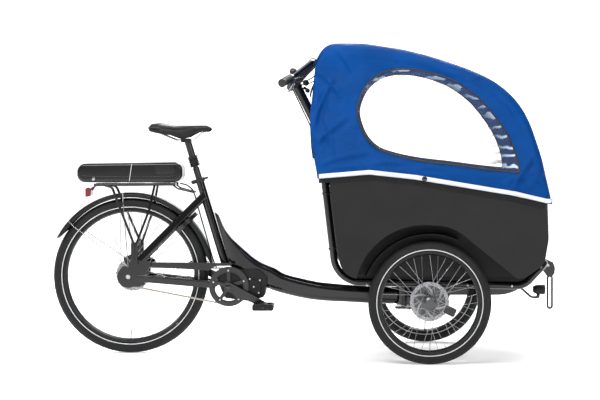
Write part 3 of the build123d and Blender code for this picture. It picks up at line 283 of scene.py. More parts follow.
def tube(name, points, radius, mat, body, slot=None, cyclic=False, straight=False):
    """A round tube through points, as a mesh."""
    curve = bpy.data.curves.new(name, "CURVE")
    curve.dimensions = "3D"
    curve.resolution_u = 10
    curve.bevel_depth = radius / 1000
    curve.bevel_resolution = 3
    curve.use_fill_caps = True
    spline = curve.splines.new("POLY" if straight else "NURBS")
    spline.points.add(len(points) - 1)
    for point, co in zip(spline.points, points):
        point.co = (*co, 1)
    if not straight:
        spline.order_u = 4
        spline.use_endpoint_u = not cyclic
    spline.use_cyclic_u = cyclic
    temp = bpy.data.objects.new(name + "_path", curve)
    bpy.context.collection.objects.link(temp)
    bpy.context.view_layer.update()
    made = bpy.data.meshes.new_from_object(temp.evaluated_get(bpy.context.evaluated_depsgraph_get()))
    verts = [v.co.copy() for v in made.vertices]
    faces = [tuple(f.vertices) for f in made.polygons]
    bpy.data.objects.remove(temp)
    bpy.data.meshes.remove(made)
    return mesh(name, verts, faces, mat, body, slot)


def smooth_line(points, steps):
    """Catmull-Rom line through points, as a list of tuples."""
    pts = [points[0], *points, points[-1]]
    out = []
    for quad in zip(pts, pts[1:], pts[2:], pts[3:]):
        for k in range(steps):
            t = k / steps
            out.append(tuple(0.5 * (2 * b + (c - a) * t + (2 * a - 5 * b + 4 * c - d) * t * t
                                    + (3 * b - a - 3 * c + d) * t ** 3) for a, b, c, d in zip(*quad)))
    out.append(tuple(points[-1]))
    return out


def mix(a, b, t):
    """The point a share t of the way from a to b."""
    return tuple(p + (q - p) * t for p, q in zip(a, b))


def at_share(line, share):
    """The point at a share of the line's count of points."""
    spot = max(0.0, min(1.0, share)) * (len(line) - 1)
    i = min(int(spot), len(line) - 2)
    return mix(line[i], line[i + 1], spot - i)


def even(line, count):
    """The line resampled at even distances."""
    runs = [0.0]
    for a, b in zip(line, line[1:]):
        runs.append(runs[-1] + math.dist(a, b))
    out, i = [], 0
    for k in range(count):
        want = runs[-1] * k / (count - 1)
        while i < len(runs) - 2 and runs[i + 1] < want:
            i += 1
        t = 0 if runs[i + 1] == runs[i] else (want - runs[i]) / (runs[i + 1] - runs[i])
        out.append(mix(line[i], line[i + 1], t))
    return out


def between(x, table):
    """The second column of a table at x, straight between its rows."""
    for (x0, z0), (x1, z1) in zip(table, table[1:]):
        if x <= x1:
            return z0 + (z1 - z0) * max(0.0, (x - x0)) / (x1 - x0)
    return table[-1][1]


# ---------------------------------------------------------------- tyres
TYRE_WALL = 4.5
KNOB_DEPTH, KNOB_LANE = 2.0, 6.2     # tread grooves, and the width of one row of knobs
TURNS_PER_KNOB = 4


def tyre(name, centre, radius, section, bead, body, knobs, stripe_r):
    """A hollow tyre with a knobbed tread and a reflective stripe on each wall; section is its half width."""
    mid = radius - section
    start = math.asin(max(-1, (bead - mid) / section))
    outline = []
    for size, first, last, steps in ((section, start, math.pi - start, 28),
                                     (section - TYRE_WALL, math.pi - start, start, 12)):
        for k in range(steps + 1):
            a = first + (last - first) * k / steps
            outline.append((mid + size * math.sin(a), -size * math.cos(a)))

    def tread(i, r, h):
        if r < radius - 9 or math.hypot(r - mid, h) < section - 1:
            return 0.0
        lane = int((h + 60) / KNOB_LANE)
        groove = (i + (lane % 2) * 2) % TURNS_PER_KNOB == 0
        return -KNOB_DEPTH if groove and abs(h) > 2 else 0.0

    piece = lathe(name + "_tread", outline, centre, (0, 1, 0), "tyre_rubber", body, knobs * TURNS_PER_KNOB,
                  True, "tyre_rubber", tread)
    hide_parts(name)
    for side in (-1, 1):
        rise = (stripe_r - mid) / section
        h = math.sqrt(max(0.0, 1 - rise * rise)) * section
        ring = [(stripe_r - 2.4, side * (h - 0.6)), (stripe_r - 2.2, side * (h + 1.1)),
                (stripe_r + 2.2, side * (h + 0.4)), (stripe_r + 2.4, side * (h - 2.0))]
        lathe(f"{name}_stripe_{'rl'[side > 0]}", ring, centre, (0, 1, 0), "reflective", body, 128, True)


TYRES = (("rear", REAR_AXLE, 0, 54, 292.0), ("front_right", FRONT_AXLE, -HALF_TRACK, 42, 215.0),
         ("front_left", FRONT_AXLE, HALF_TRACK, 42, 215.0))
for word, (x, z), y, knobs, stripe_r in TYRES:
    name = f"{word}_tyre"
    body = f"{word}_wheel"
    spots = [v.co for v in frame["nodes"][name].data.vertices]
    half = max(abs(c.y - y / 1000) for c in spots) * 1000
    radii = [math.hypot(c.x - P(x, z).x, c.z - z / 1000) * 1000 for c in spots]
    tyre(name, P(x, z, y), max(radii), half, min(radii), body, knobs, stripe_r)
    valve = [P(x, z, y) + Vector((0, 0, -1)) * (min(radii) - depth) / 1000 for depth in (52, 12)]
    tube(f"{word}_valve", valve, 3.0, "steel", body, "spoke_steel", straight=True)

# ---------------------------------------------------------------- chain, link by link
PITCH, CHAIN_Y = 12.7, -54.0
SPROCKET_TEETH, RING_TEETH = 19, 38
SMALL_R = PITCH / (2 * math.sin(math.pi / SPROCKET_TEETH))
BIG_R = PITCH / (2 * math.sin(math.pi / RING_TEETH))
PLATE_R, PLATE_WAIST, PLATE_THICK = 4.1, 3.1, 1.0
PLATE_OUT = (2.3, 3.4)               # outer faces of inner and outer plates, off the chain's middle
run = math.hypot(CRANK[0], CRANK[1] - REAR_AXLE[1])
lean = math.atan2(CRANK[1] - REAR_AXLE[1], CRANK[0])
tilt = math.asin((BIG_R - SMALL_R) / run)
up_angle, down_angle = lean + math.pi / 2 + tilt, lean - math.pi / 2 - tilt
loop = arc(REAR_AXLE, SMALL_R, up_angle, 2 * math.pi + down_angle, 40)
loop += arc(CRANK, BIG_R, down_angle, up_angle, 60)
loop.append(loop[0])
length = sum(math.dist(a, b) for a, b in zip(loop, loop[1:]))
links = 2 * round(length / PITCH / 2)
pins = even(loop, links + 1)[:-1]
verts, faces = [], []
for i, (a, b) in enumerate(zip(pins, pins[1:] + pins[:1])):
    angle = math.atan2(b[1] - a[1], b[0] - a[0])
    quarter = math.pi / 2
    waist = [((a[0] + b[0]) / 2 - s * PLATE_WAIST * math.sin(angle),
              (a[1] + b[1]) / 2 + s * PLATE_WAIST * math.cos(angle)) for s in (-1, 1)]
    plate = arc(a, PLATE_R, angle + quarter, angle + 3 * quarter, 6) + [waist[0]]
    plate += arc(b, PLATE_R, angle - quarter, angle + quarter, 6) + [waist[1]]
    wide = PLATE_OUT[i % 2]
    for side in (-1, 1):
        add_prism(verts, faces, plate, CHAIN_Y + side * wide, CHAIN_Y + side * (wide - PLATE_THICK))
    for corners, radius, half in ((8, 3.0, 2.2), (6, 1.6, 3.9)):      # roller and pin
        round_bar = arc(a, radius, 0, 2 * math.pi, corners)[:-1]
        add_prism(verts, faces, round_bar, CHAIN_Y - half, CHAIN_Y + half)
chain = mesh("chain_links", verts, faces, "chain_steel", "rear_frame", smooth=False)
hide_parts("chain")

# ---------------------------------------------------------------- rain canopy
BACK = [(812, 757), (790, 870), (780, 990), (789, 1110), (800, 1235)]
BACK_X, BACK_Z = BACK[0]
ROOF_X, ROOF_Z = BACK[-1]            # where the back edge turns into the roof
FRONT_X, FRONT_Z = 1750, 653
TOP = even(smooth_line([(ROOF_X, ROOF_Z), (845, 1298), (980, 1305), (1176, 1276), (1373, 1218),
                        (1530, 1146), (1640, 1036), (1704, 870), (FRONT_X, FRONT_Z)], 20), 400)
BACK_LINE = smooth_line(BACK, 12)
HALF_WIDTHS = [(640, 430), (775, 430), (1000, 356), (1185, 299), (1320, 288)]   # by height
SIDE_Y = 200                         # cloth further out than this is a side wall
SIDE_SHARE, BEND_SHARE = 0.31, 0.38  # where a rib's side wall and its bend into the roof end, from hem to hem
BEND_R = 54.0
CLOTH_ROWS, SIDE_STEPS, BEND_STEPS, ROOF_STEPS = 230, 96, 14, 36


def half_width(z):
    return between(z, HALF_WIDTHS)


def hem_line(station=4.0, clear=1.5):
    """The upper outline of the box's rim band in the side view, from the CAD mesh, and a little above it."""
    tops = {}
    for v in frame["nodes"]["box_rim"].data.vertices:
        key = round((v.co.x * 1000 - REAR_X) / station)
        tops[key] = max(tops.get(key, 0), v.co.z * 1000)
    upper = []
    for x, z in sorted((key * station, top + clear) for key, top in tops.items()):
        if x <= BACK_X - 2:
            continue
        # a station is dropped where the line between its neighbours passes above it
        while len(upper) >= 2 and ((upper[-1][0] - upper[-2][0]) * (z - upper[-2][1])
                                   - (upper[-1][1] - upper[-2][1]) * (x - upper[-2][0])) >= 0:
            upper.pop()
        upper.append((x, z))
    return upper


HEM = hem_line()


def hem_height(x):
    return between(x, HEM)


def rib(s):
    """Bottom and top of one rib of the cloth in the side view; s runs 0..1 from back edge to front."""
    bottom_x = BACK_X + (FRONT_X - BACK_X) * (s ** 0.92)
    bottom = (bottom_x, hem_height(bottom_x) if bottom_x < FRONT_X - 15 else FRONT_Z)
    return bottom, at_share(TOP, s)


# pulled folds in the side view: from, to, height
CREASES = (
    ((815, 800), (1010, 868), 6.0), ((830, 786), (985, 812), 5.0), ((798, 880), (925, 1010), 6.5),
    ((790, 950), (862, 1165), 7.5), ((803, 1190), (915, 1085), 6.0), ((1010, 800), (1160, 828), 4.0),
    ((1200, 788), (1345, 800), 3.5), ((1590, 705), (1682, 862), 5.5), ((1640, 690), (1722, 800), 5.0),
    ((1545, 722), (1640, 775), 4.5), ((872, 1290), (965, 1168), 4.5), ((1430, 748), (1560, 772), 3.5),
    ((1150, 1240), (1390, 1178), 3.5), ((1560, 1080), (1640, 960), 4.0), ((832, 1010), (880, 830), 4.5))
RIDGE, FURROW, FURROW_OFF = 10.0, 11.0, 19


def crease(x, z):
    """Height of the pulled folds at a side-view spot: each is a ridge with a furrow beside it."""
    rise = 0.0
    for (x0, z0), (x1, z1), tall in CREASES:
        dx, dz = x1 - x0, z1 - z0
        run_length = math.hypot(dx, dz)
        t = ((x - x0) * dx + (z - z0) * dz) / run_length ** 2
        if -0.25 < t < 1.25:
            off = ((x - x0) * dz - (z - z0) * dx) / run_length + 7.0 * math.sin(t * 4.5)
            fade = math.exp(-((t - 0.5) / 0.42) ** 4)
            ridge = math.exp(-(off / RIDGE) ** 2)
            rise += 1.35 * tall * fade * (ridge - 0.75 * math.exp(-((off - FURROW_OFF) / FURROW) ** 2))
    return rise


def slack(x, z, side, low, h):
    """Height of the slack folds: along the back edge, above the hem, at the roof's corner, a broad swell."""
    edge = math.exp(-((x - ROOF_X) / 75.0) ** 2)
    fold = 7.5 * edge * math.sin((z * 0.9 + x * 1.7) / 38.0) * (0.4 + 0.6 * h)
    fold += 3.6 * low * math.sin(x / 26.0 + 1.5 * math.sin(x / 90.0))
    fold += 3.2 * math.exp(-((z - 0.62 * x - 560) / 26.0) ** 2) * math.exp(-((x - 860) / 120.0) ** 2)
    return fold + 4.5 * noise.noise(Vector((x / 120, z / 120, side * 3.1))) * (1 - low)


def cloth_point(s, w):
    """A point of the cloth as (x, y, z): w runs 0..1 from the right hem over the roof to the left hem."""
    bottom, top = rib(s)
    if top[1] < bottom[1] + 1:
        top = (top[0], bottom[1] + 1)
    tall = top[1] - bottom[1]
    bend = min(BEND_R, 0.46 * tall)
    side = -1 if w < 0.5 else 1
    u = w * 2 if w < 0.5 else (1 - w) * 2      # 0 at the hem, 1 on the centre line
    side_end, bend_end = 2 * SIDE_SHARE, 2 * BEND_SHARE
    z_turn = top[1] - bend
    if u < side_end:
        z = bottom[1] + (z_turn - bottom[1]) * (u / side_end)
        y = half_width(z)
        ny, nz = 1.0, 0.12
    elif u < bend_end:
        a = (u - side_end) / (bend_end - side_end) * math.pi / 2
        z = z_turn + bend * math.sin(a)
        y = half_width(z_turn) - bend * (1 - math.cos(a))
        ny, nz = math.cos(a), math.sin(a)
    else:
        t = (u - bend_end) / (1 - bend_end)
        z = top[1] + 4.0 * math.sin(t * math.pi / 2)
        y = (half_width(z_turn) - bend) * (1 - t)
        ny, nz = 0.0, 1.0
    h = 0 if tall < 2 else (z - bottom[1]) / tall
    h = max(0.0, min(1.0, h))
    x = bottom[0] + (top[0] - bottom[0]) * h
    # the ribs next to the back edge follow its curve
    back_x = at_share(BACK_LINE, h)[0]
    x += (back_x - (BACK_X + (ROOF_X - BACK_X) * h)) * (1 - s) ** 6 * (1 if u < bend_end else 0.4)
    low = math.exp(-((z - bottom[1]) / 70.0) ** 2)
    fold = slack(x, z, side, low, h) + (crease(x, z) if u < bend_end else 0.0)
    fold *= min(1.0, u * 9)
    if u >= side_end:
        fold *= 0.6
    return x, side * (y + ny * fold), z + nz * fold


WINDOW_POINTS = [(1622, 777), (1606, 855), (1573, 934), (1524, 1006), (1468, 1072), (1396, 1128),
                 (1339, 1158), (1251, 1186), (1149, 1198), (1062, 1178), (1004, 1128), (975, 1065),
                 (969, 1018), (997, 934), (1047, 877), (1119, 848), (1234, 823), (1376, 806), (1519, 787)]
WINDOW = even(smooth_line(WINDOW_POINTS + [WINDOW_POINTS[0]], 10), 260)[:-1]
SNAP = 2.6                           # cloth corners this near to the window's outline are pulled onto it
WINDOW_EDGES = list(zip(WINDOW, WINDOW[-1:] + WINDOW[:-1]))


def in_window(x, z):
    inside = False
    for (x0, z0), (x1, z1) in WINDOW_EDGES:
        if (z0 > z) != (z1 > z) and x < (x1 - x0) * (z - z0) / (z1 - z0) + x0:
            inside = not inside
    return inside


def shares():
    """Where the cloth's lines run, as shares from hem to hem: closest together round the bends."""
    out = [SIDE_SHARE * k / SIDE_STEPS for k in range(SIDE_STEPS)]
    out += [SIDE_SHARE + (BEND_SHARE - SIDE_SHARE) * k / BEND_STEPS for k in range(BEND_STEPS)]
    out += [BEND_SHARE + (0.5 - BEND_SHARE) * k / (ROOF_STEPS / 2) for k in range(ROOF_STEPS // 2)]
    return out + [0.5] + [1 - w for w in reversed(out)]


W = shares()
rows = [[cloth_point(i / (CLOTH_ROWS - 1), w) for w in W] for i in range(CLOTH_ROWS)]
spots = [list(p) for row in rows for p in row]
for p in spots:
    if abs(p[1]) < SIDE_Y or not (940 < p[0] < 1650 and 755 < p[2] < 1215):
        continue
    near = min(WINDOW, key=lambda q: (q[0] - p[0]) ** 2 + (q[1] - p[2]) ** 2)
    if math.hypot(near[0] - p[0], near[1] - p[2]) < SNAP:
        p[0], p[2] = near
cloth_faces, film_faces = [], []
for f in grid_faces(CLOTH_ROWS, len(W)):
    mid_x, mid_y, mid_z = [sum(spots[i][k] for i in f) / 4 for k in range(3)]
    is_film = abs(mid_y) > SIDE_Y and in_window(mid_x, mid_z)
    (film_faces if is_film else cloth_faces).append(f)


def compact(face_list):
    """The corners that some of the cloth's faces use, in metres, and those faces numbered to match."""
    used = sorted({i for f in face_list for i in f})
    place = {old: new for new, old in enumerate(used)}
    corners = [P(spots[i][0], spots[i][2], spots[i][1]) for i in used]
    return corners, [tuple(place[i] for i in f) for f in face_list]


canopy = mesh("canopy_sheet", *compact(cloth_faces), "canopy_cloth", "box_frame")
thicken(canopy, 0.0012)
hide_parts("canopy")
for side, word in SIDES:
    pane = compact([f for f in film_faces if spots[f[0]][1] * side > 0])
    mesh(f"canopy_film_{word}", *pane, "window_film", "box_frame")
    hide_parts("canopy_windows")

# piping round the windows
left_spots = [p for p in spots if p[1] > SIDE_Y]
rim_spots = [(x, z, min(left_spots, key=lambda p: (p[0] - x) ** 2 + (p[2] - z) ** 2)[1])
             for x, z in WINDOW[::4]]
for side in (-1, 1):
    line = [P(x, z, side * (y + 1.0)) for x, z, y in rim_spots]
    tube(f"window_piping_{'rl'[side > 0]}", line, 3.6, "piping", "box_frame", "canopy_cloth",
                      cyclic=True)

# reflective band along the hem: a path of (x, z, y) and the way outward, round the front
HEM_START, HEM_TURN, TURN_R = 818, 1728, 24
HEM_TALL, HEM_LIFT = 18.0, 1.6
half_path = []
for k in range(60):
    x = HEM_START + (HEM_TURN - HEM_START) * k / 59
    z = hem_height(x) + 0.5
    half_path.append((x, z, half_width(z) + 3.2, 0, 1))
for k in range(1, 12):
    a = math.pi / 2 * k / 12
    half_path.append((HEM_TURN + TURN_R * math.sin(a), 656, 433 - TURN_R * (1 - math.cos(a)), 1, 1))
path = [(x, z, -y, out_x, -out_y) for x, z, y, out_x, out_y in half_path]
path += [(1753, 654, -409 + 818 * k / 20, 1, 0) for k in range(21)]
path += reversed(half_path)
verts = [P(x + out_x * HEM_LIFT, z + rise, y + out_y * HEM_LIFT) for x, z, y, out_x, out_y in path
         for rise in (0, HEM_TALL)]
strip = mesh("reflective_hem", verts, grid_faces(len(path), 2), "reflective", "box_frame", "canopy_cloth")
thicken(strip, 0.0008)

# back panel, open round the steering arm below, with a loose black flap over it
PANEL_ROWS, PANEL_COLS = 50, 61
SLIT, SLIT_TOP = 25.0, 1030          # half width of the opening, and where it starts to close
PANEL_TOP = 1296
verts = []
for i in range(PANEL_ROWS):
    h = i / (PANEL_ROWS - 1)
    z = BACK_Z + (PANEL_TOP - BACK_Z) * h
    x = at_share(BACK_LINE, h)[0] if z < ROOF_Z else ROOF_X + 45 * ((z - ROOF_Z) / 63)
    corner = max(0.0, (z - 1225) / 75)
    wide = half_width(z) - 75 * (1 - math.sqrt(max(0.0, 1 - corner * corner)))
    gap = SLIT if z < SLIT_TOP else SLIT * max(0.0, 1 - (z - SLIT_TOP) / 25.0)
    for j in range(PANEL_COLS):
        t = -1 + 2 * j / (PANEL_COLS - 1)
        y = math.copysign(gap + (wide - gap) * abs(t), t)
        sag = 7.0 * math.sin(z / 47.0 + y / 120.0) * (1 - abs(t)) ** 0.5
        verts.append(P(x + 4 + sag * 0.6, z, y))
middle = (PANEL_COLS - 1) // 2
keep = [f for f in grid_faces(PANEL_ROWS, PANEL_COLS)
        if not (verts[f[0]].z * 1000 < SLIT_TOP + 25 and middle in (f[0] % PANEL_COLS, f[1] % PANEL_COLS))]
back_panel = mesh("canopy_back", verts, keep, "canopy_cloth", "box_frame")

FLAP_ROWS, FLAP_COLS = 24, 31
FLAP_TOP, FLAP_DROP, FLAP_WIDE = 1000, 170, 420
verts = []
for i in range(FLAP_ROWS):
    hang = i / (FLAP_ROWS - 1)
    for j in range(FLAP_COLS):
        y = -FLAP_WIDE / 2 + FLAP_WIDE * j / (FLAP_COLS - 1)
        z = FLAP_TOP - FLAP_DROP * i / (FLAP_ROWS - 1)
        back_x = at_share(BACK_LINE, (z - BACK_Z) / (ROOF_Z - BACK_Z))[0]
        verts.append(P(back_x - 7 - 5 * math.sin(j * 0.9) * hang - 5 * hang, z, y))
flap_faces = [f for f in grid_faces(FLAP_ROWS, FLAP_COLS) if not (14 <= f[0] % FLAP_COLS <= 15)]
flap = mesh("back_flap", verts, flap_faces, "flap_cloth", "box_frame", "canopy_cloth")

# press studs and an elastic loop on the hem
STUD_X = 1240
studs = [lathe(name, [(0.1, 0), (10.5, 0.2), (10.5, 2.2), (7.0, 3.6), (0.1, 3.9)],
               P(STUD_X, hem_height(STUD_X) + 9, side * (half_width(760) + 5)), (0, side, 0), "gloss_black",
               "box_frame", 24, slot="steel") for side, name in ((-1, "hem_snap"), (1, "hem_snap_left"))]
ELASTIC = ((1749, 655, -9), (1757, 630, -8), (1758, 612, -3), (1758, 612, 3), (1757, 630, 8), (1749, 655, 9))
elastic = tube("hem_elastic", [P(*spot) for spot in ELASTIC], 1.6, "flap_cloth", "box_frame", "canopy_cloth")


def span(row):
    return sum(math.dist(p, q) for p, q in zip(row, row[1:])) / 1000


wide = max(span(row) for row in rows)

# ---------------------------------------------------------------- saddle
SADDLE_BACK, SADDLE_LONG = 81, 264
SADDLE_WIDE = [(80, 60), (92, 79), (130, 88), (180, 64), (220, 42), (270, 25), (330, 20), (341, 15), (346, 6)]
SADDLE_CROWN = [(80, 962), (92, 976), (130, 980), (190, 969), (270, 970), (325, 969), (340, 962), (346, 953)]
SADDLE_SKIRT = [(80, 956), (88, 943), (120, 935), (175, 927), (215, 911), (250, 917), (290, 938), (336, 941),
                (346, 950)]
SECTIONS, ROUND = 40, 28
verts = []
for i in range(SECTIONS):
    x = SADDLE_BACK + SADDLE_LONG * (i / (SECTIONS - 1))
    wide, crown, skirt = between(x, SADDLE_WIDE), between(x, SADDLE_CROWN), between(x, SADDLE_SKIRT)
    for j in range(ROUND):
        a = math.pi * j / (ROUND - 1)
        y = wide * math.copysign(abs(math.cos(a)) ** 0.55, math.cos(a))
        groove = 5.0 * math.exp(-(y / 10.0) ** 2) * max(0.0, 1 - ((x - 190) / 110) ** 2)
        verts.append(P(x, skirt + (crown - skirt) * math.sin(a) ** 0.5 - groove, y))
saddle = mesh("saddle_top", verts, grid_faces(SECTIONS, ROUND), "saddle_cover", "saddle")
thicken(saddle, 0.003)
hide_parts("saddle")
BASE_RISE = [(80, 950), (120, 942), (250, 940), (346, 948)]
BASE_WIDE = ((90, 74), (130, 82), (180, 58), (220, 38), (270, 22), (335, 14))
verts = [P(x, between(x, BASE_RISE), side * wide * 0.9) for x, wide in BASE_WIDE for side in (-1, 1)]
mesh("saddle_base", verts, grid_faces(len(BASE_WIDE), 2), "black_plastic", "saddle")

# ---------------------------------------------------------------- suspension boot
SEAT_LEAN = math.radians(17)
BOOT_FOOT, BOOT_TALL, BOOT_FOLDS = 52, 45, 6
axis_up = Vector((-math.sin(SEAT_LEAN), 0, math.cos(SEAT_LEAN)))
bellows = [(20.5 + 3.0 * math.cos(k / 40 * math.pi * 2 * BOOT_FOLDS), BOOT_FOOT + BOOT_TALL * k / 40)
           for k in range(41)]
bellows += [(16.5, BOOT_FOOT + BOOT_TALL), (16.5, BOOT_FOOT)]
boot = lathe("boot_bellows", bellows, P(289.4, 743.9), axis_up, "grip_rubber", "saddle", 48, True,
             "grip_rubber")
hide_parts("seatpost_boot")

# ---------------------------------------------------------------- grips and hoses
sweep = Vector((-118, 0, -102)).normalized()     # the way the bar ends run back, in the side view
under = Vector((102, 0, -118)).normalized()


def bar_point(back, out, side):
    """A place on the handlebar: mm back along its sweep and out from the middle plane."""
    return P(777, 1238) + sweep * back / 1000 + Vector((0, side * out / 1000, 0))


GRIP_RINGS = 45
hose_starts = {}
for side, word in SIDES:
    start, end = bar_point(105, 175, side), bar_point(150, 305, side)
    along = (end - start).normalized()
    ribs = [(11.4, 0.0), (17.5, 0.0), (17.5, 3.0)]
    for k in range(GRIP_RINGS + 1):
        swell = math.sin(math.pi * k / GRIP_RINGS)
        ribs.append((15.6 + (0.9 if k % 3 else -0.4) + swell, 4 + 92 * k / GRIP_RINGS))
    ribs += [(17.5, 98), (17.5, 103), (14, 104), (0.1, 104)]
    grip = lathe(f"grip_{word}", ribs, end - along * 0.101, along, "grip_rubber", "handlebar", 48)
    if side == -1:
        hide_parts("grips")
    hose_starts[side] = start + along * 0.010 + under * 0.028

# brake hoses from the levers to the steering arm, as (x, z, y)
HOSE_ROUTE = ((800, 1212, 100), (815, 1180, 55), (792, 1160, 30), (770, 1130, 27), (764, 1090, 25))
for side, word in SIDES:
    route = [hose_starts[side], hose_starts[side] + Vector((0.07, -side * 0.02, 0.005))]
    route += [P(x, z, side * y) for x, z, y in HOSE_ROUTE]
    hose = tube(f"brake_hose_{word}", route, 2.5, "cable_jacket", None)
    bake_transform(hose)

# small fittings on the steering arm, the cable down its back, and the switch cable and bell on the bar
for k, (x, z, r, tall) in enumerate(((746, 1150, 13, 17), (753, 1117, 10, 14), (741, 1128, 6, 20))):
    knob = [(0.1, -tall), (r - 2, -tall), (r, -tall + 2), (r, tall - 2), (r - 2, tall), (0.1, tall)]
    lathe(f"arm_knob_{k + 1}", knob, P(x, z), (0, 1, 0), "black_plastic", "box_frame", 32)
tube("arm_bracket", [P(712, 1122), P(730, 1128), P(752, 1124)], 4.5, "black_alloy", "box_frame")
ARM_CABLE = ((690, 1124), (706, 1090), (733, 1034), (756, 986), (779, 935), (801, 868), (808, 800))
tube("arm_cable", [P(x, z, -10) for x, z in ARM_CABLE], 3.0, "cable_jacket", "box_frame")
SWITCH_CABLE = ((716, 1168, -110), (742, 1168, -60), (770, 1195, -40), (790, 1222, -32))
switch = bar_point(104, 150, -1) + Vector((0, 0, -0.012))
tube("bar_switch_cable", [switch] + [P(*place) for place in SWITCH_CABLE], 2.2, "cable_jacket", "handlebar")
lathe("bar_bell", [(0.1, 24), (9, 22), (15, 15), (17, 7), (17, 4), (0.1, 4)],
      bar_point(88, 148, -1) - under * 0.008, -under, "black_alloy", "handlebar", 32)

# ---------------------------------------------------------------- web, bands, bolts, caps and lens
# (radius, height) outlines of turned hardware, mm from the middle of what each sits on
CRADLE_BOLT = [(0.1, 17.6), (3, 17.6), (4.5, 16.6), (6, 14), (6, 10), (0.1, 10)]
BRACKET_SCREW = [(0.1, 17.5), (4, 17.5), (5.5, 16), (5.5, 13.6), (0.1, 13.6)]
BRACKET_WASHER = [(0.1, 15.2), (10, 15.2), (10, 13.6), (0.1, 13.6)]
MOTOR_BOLT = [(0.1, 1.8), (3.2, 1.8), (4.2, 0.9), (4.2, -0.8), (0.1, -0.8)]
RING_BOLT = [(0.1, 9.4), (2.8, 9.4), (4.4, 8.2), (4.4, 5.0), (0.1, 5.0)]
CRANK_CAP = [(0.1, 82.4), (8, 82.2), (11, 81.2), (11.8, 79.5), (0.1, 79.5)]
HUB_CAP = [(0.1, 43), (5, 43), (6, 41.5), (6, 38.5), (0.1, 38.5)]
# lower and upper edge of the web between the box and its cradle tubes
WEB_LOW = [(900, 341), (960, 330), (1250, 322), (1600, 314), (1650, 312), (1684, 344), (1722, 388)]
WEB_HIGH = [(905, 368), (960, 362), (1250, 360), (1600, 360), (1640, 360), (1690, 398), (1716, 424)]
CRADLE_Y = 282                       # middle of a cradle tube
CRADLE_BACK = [(465, 868.5), (690, 842.5)]       # its leaning rear part: x by height
for side, word in SIDES:
    verts = [P(x, z, side * y) for y in (279, 281) for pair in zip(WEB_LOW, WEB_HIGH) for x, z in pair]
    layer = grid_faces(len(WEB_LOW), 2)
    faces = layer + [tuple(i + 2 * len(WEB_LOW) for i in reversed(f)) for f in layer]
    mesh(f"box_web_{word}", verts, faces, "rim_band", "box_frame", smooth=False)
    for z in (690, 465):
        middle = P(between(z, CRADLE_BACK), z, side * CRADLE_Y)
        lathe(f"cradle_band_{z}_{word}", [(15.2, -4), (17.4, -4), (17.4, 4), (15.2, 4)], middle,
              (-0.12, 0, 0.99), "cable_jacket", "box_frame", 24, True)
    for k, (x, z) in enumerate(((1010, 316), (1420, 316), (1600, 312.5))):
        lathe(f"cradle_bolt_{k + 1}_{word}", CRADLE_BOLT, P(x, z, side * CRADLE_Y), (0, side, 0), "steel",
              "box_frame", 16)

lathe("front_clamp", [(15.6, -9), (18.4, -9), (18.4, 9), (15.6, 9)], P(1736, 402), (0, 1, 0), "silver_alloy",
      "box_frame", 32, True)
for side, word in SIDES:
    lathe(f"bracket_screw_{word}", BRACKET_SCREW, P(1776, 374), (0, side, 0), "steel", "box_frame", 20)
    lathe(f"bracket_washer_{word}", BRACKET_WASHER, P(1776, 374), (0, side, 0), "silver_alloy", "box_frame",
          24)
lathe("headlight_lens", [(0.1, 53.5), (12, 53.2), (18, 52.2), (19.5, 50.5), (0.1, 50)], P(1714, 269),
      (1, 0, 0), "clear_lens", "headlight", 40, slot="window_film")

RING_BOLT_R, RING_Y = 67.5, -53.5
motor_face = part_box("motor_housing")[0].y * 1000
for k, (x, z) in enumerate(((510, 317), (553, 312), (527, 284), (548, 258), (498, 250))):
    lathe(f"motor_bolt_{k + 1}", MOTOR_BOLT, P(x, z, motor_face), (0, -1, 0), "steel", "rear_frame", 18)
for k in range(5):
    a = math.radians(20 + 72 * k)
    x, z = CRANK[0] + RING_BOLT_R * math.cos(a), CRANK[1] + RING_BOLT_R * math.sin(a)
    lathe(f"ring_bolt_{k + 1}", RING_BOLT, P(x, z, RING_Y), (0, -1, 0), "steel", "crank", 20)
for side, word in SIDES:
    lathe(f"crank_cap_{word}", CRANK_CAP, P(*CRANK), (0, side, 0), "gloss_black", "crank", 32)
    lathe(f"front_hub_cap_{word}", HUB_CAP, P(*FRONT_AXLE, side * HALF_TRACK), (0, side, 0), "steel",
          f"front_{word}_wheel", 20)

# ---------------------------------------------------------------- bench cushion
CUSHION_ROWS, CUSHION_COLS = 41, 81
CUSHION_X, CUSHION_HALF_LONG, CUSHION_HALF_WIDE = 1033, 134, 389
CUSHION_TOP, CUSHION_FOOT = 616, 605             # the edge, above and below; it swells from there
verts = []
for is_top in (True, False):
    for i in range(CUSHION_ROWS):
        for j in range(CUSHION_COLS):
            u, v = -1 + 2 * i / (CUSHION_ROWS - 1), -1 + 2 * j / (CUSHION_COLS - 1)
            x = CUSHION_X + CUSHION_HALF_LONG * u * (1 - 0.02 * (1 - v * v))
            y = CUSHION_HALF_WIDE * v * (1 - 0.02 * (1 - u * u))
            edge = (1 - abs(u) ** 5) * (1 - abs(v) ** 9)
            seam = math.exp(-((abs(v) - 0.33) / 0.02) ** 2)
            rise = 20 * edge ** 0.5 - 7 * seam * edge + 2 * math.sin(y / 60) * edge
            verts.append(P(x, CUSHION_TOP + rise if is_top else CUSHION_FOOT - 12 * edge ** 0.5, y))
count = CUSHION_ROWS * CUSHION_COLS
layer = grid_faces(CUSHION_ROWS, CUSHION_COLS)
ring = list(range(CUSHION_COLS)) + [i * CUSHION_COLS + CUSHION_COLS - 1 for i in range(1, CUSHION_ROWS)]
ring += [(CUSHION_ROWS - 1) * CUSHION_COLS + j for j in range(CUSHION_COLS - 2, -1, -1)]
ring += [i * CUSHION_COLS for i in range(CUSHION_ROWS - 2, 0, -1)]
sides = [(a, b, b + count, a + count) for a, b in zip(ring, ring[1:] + ring[:1])]
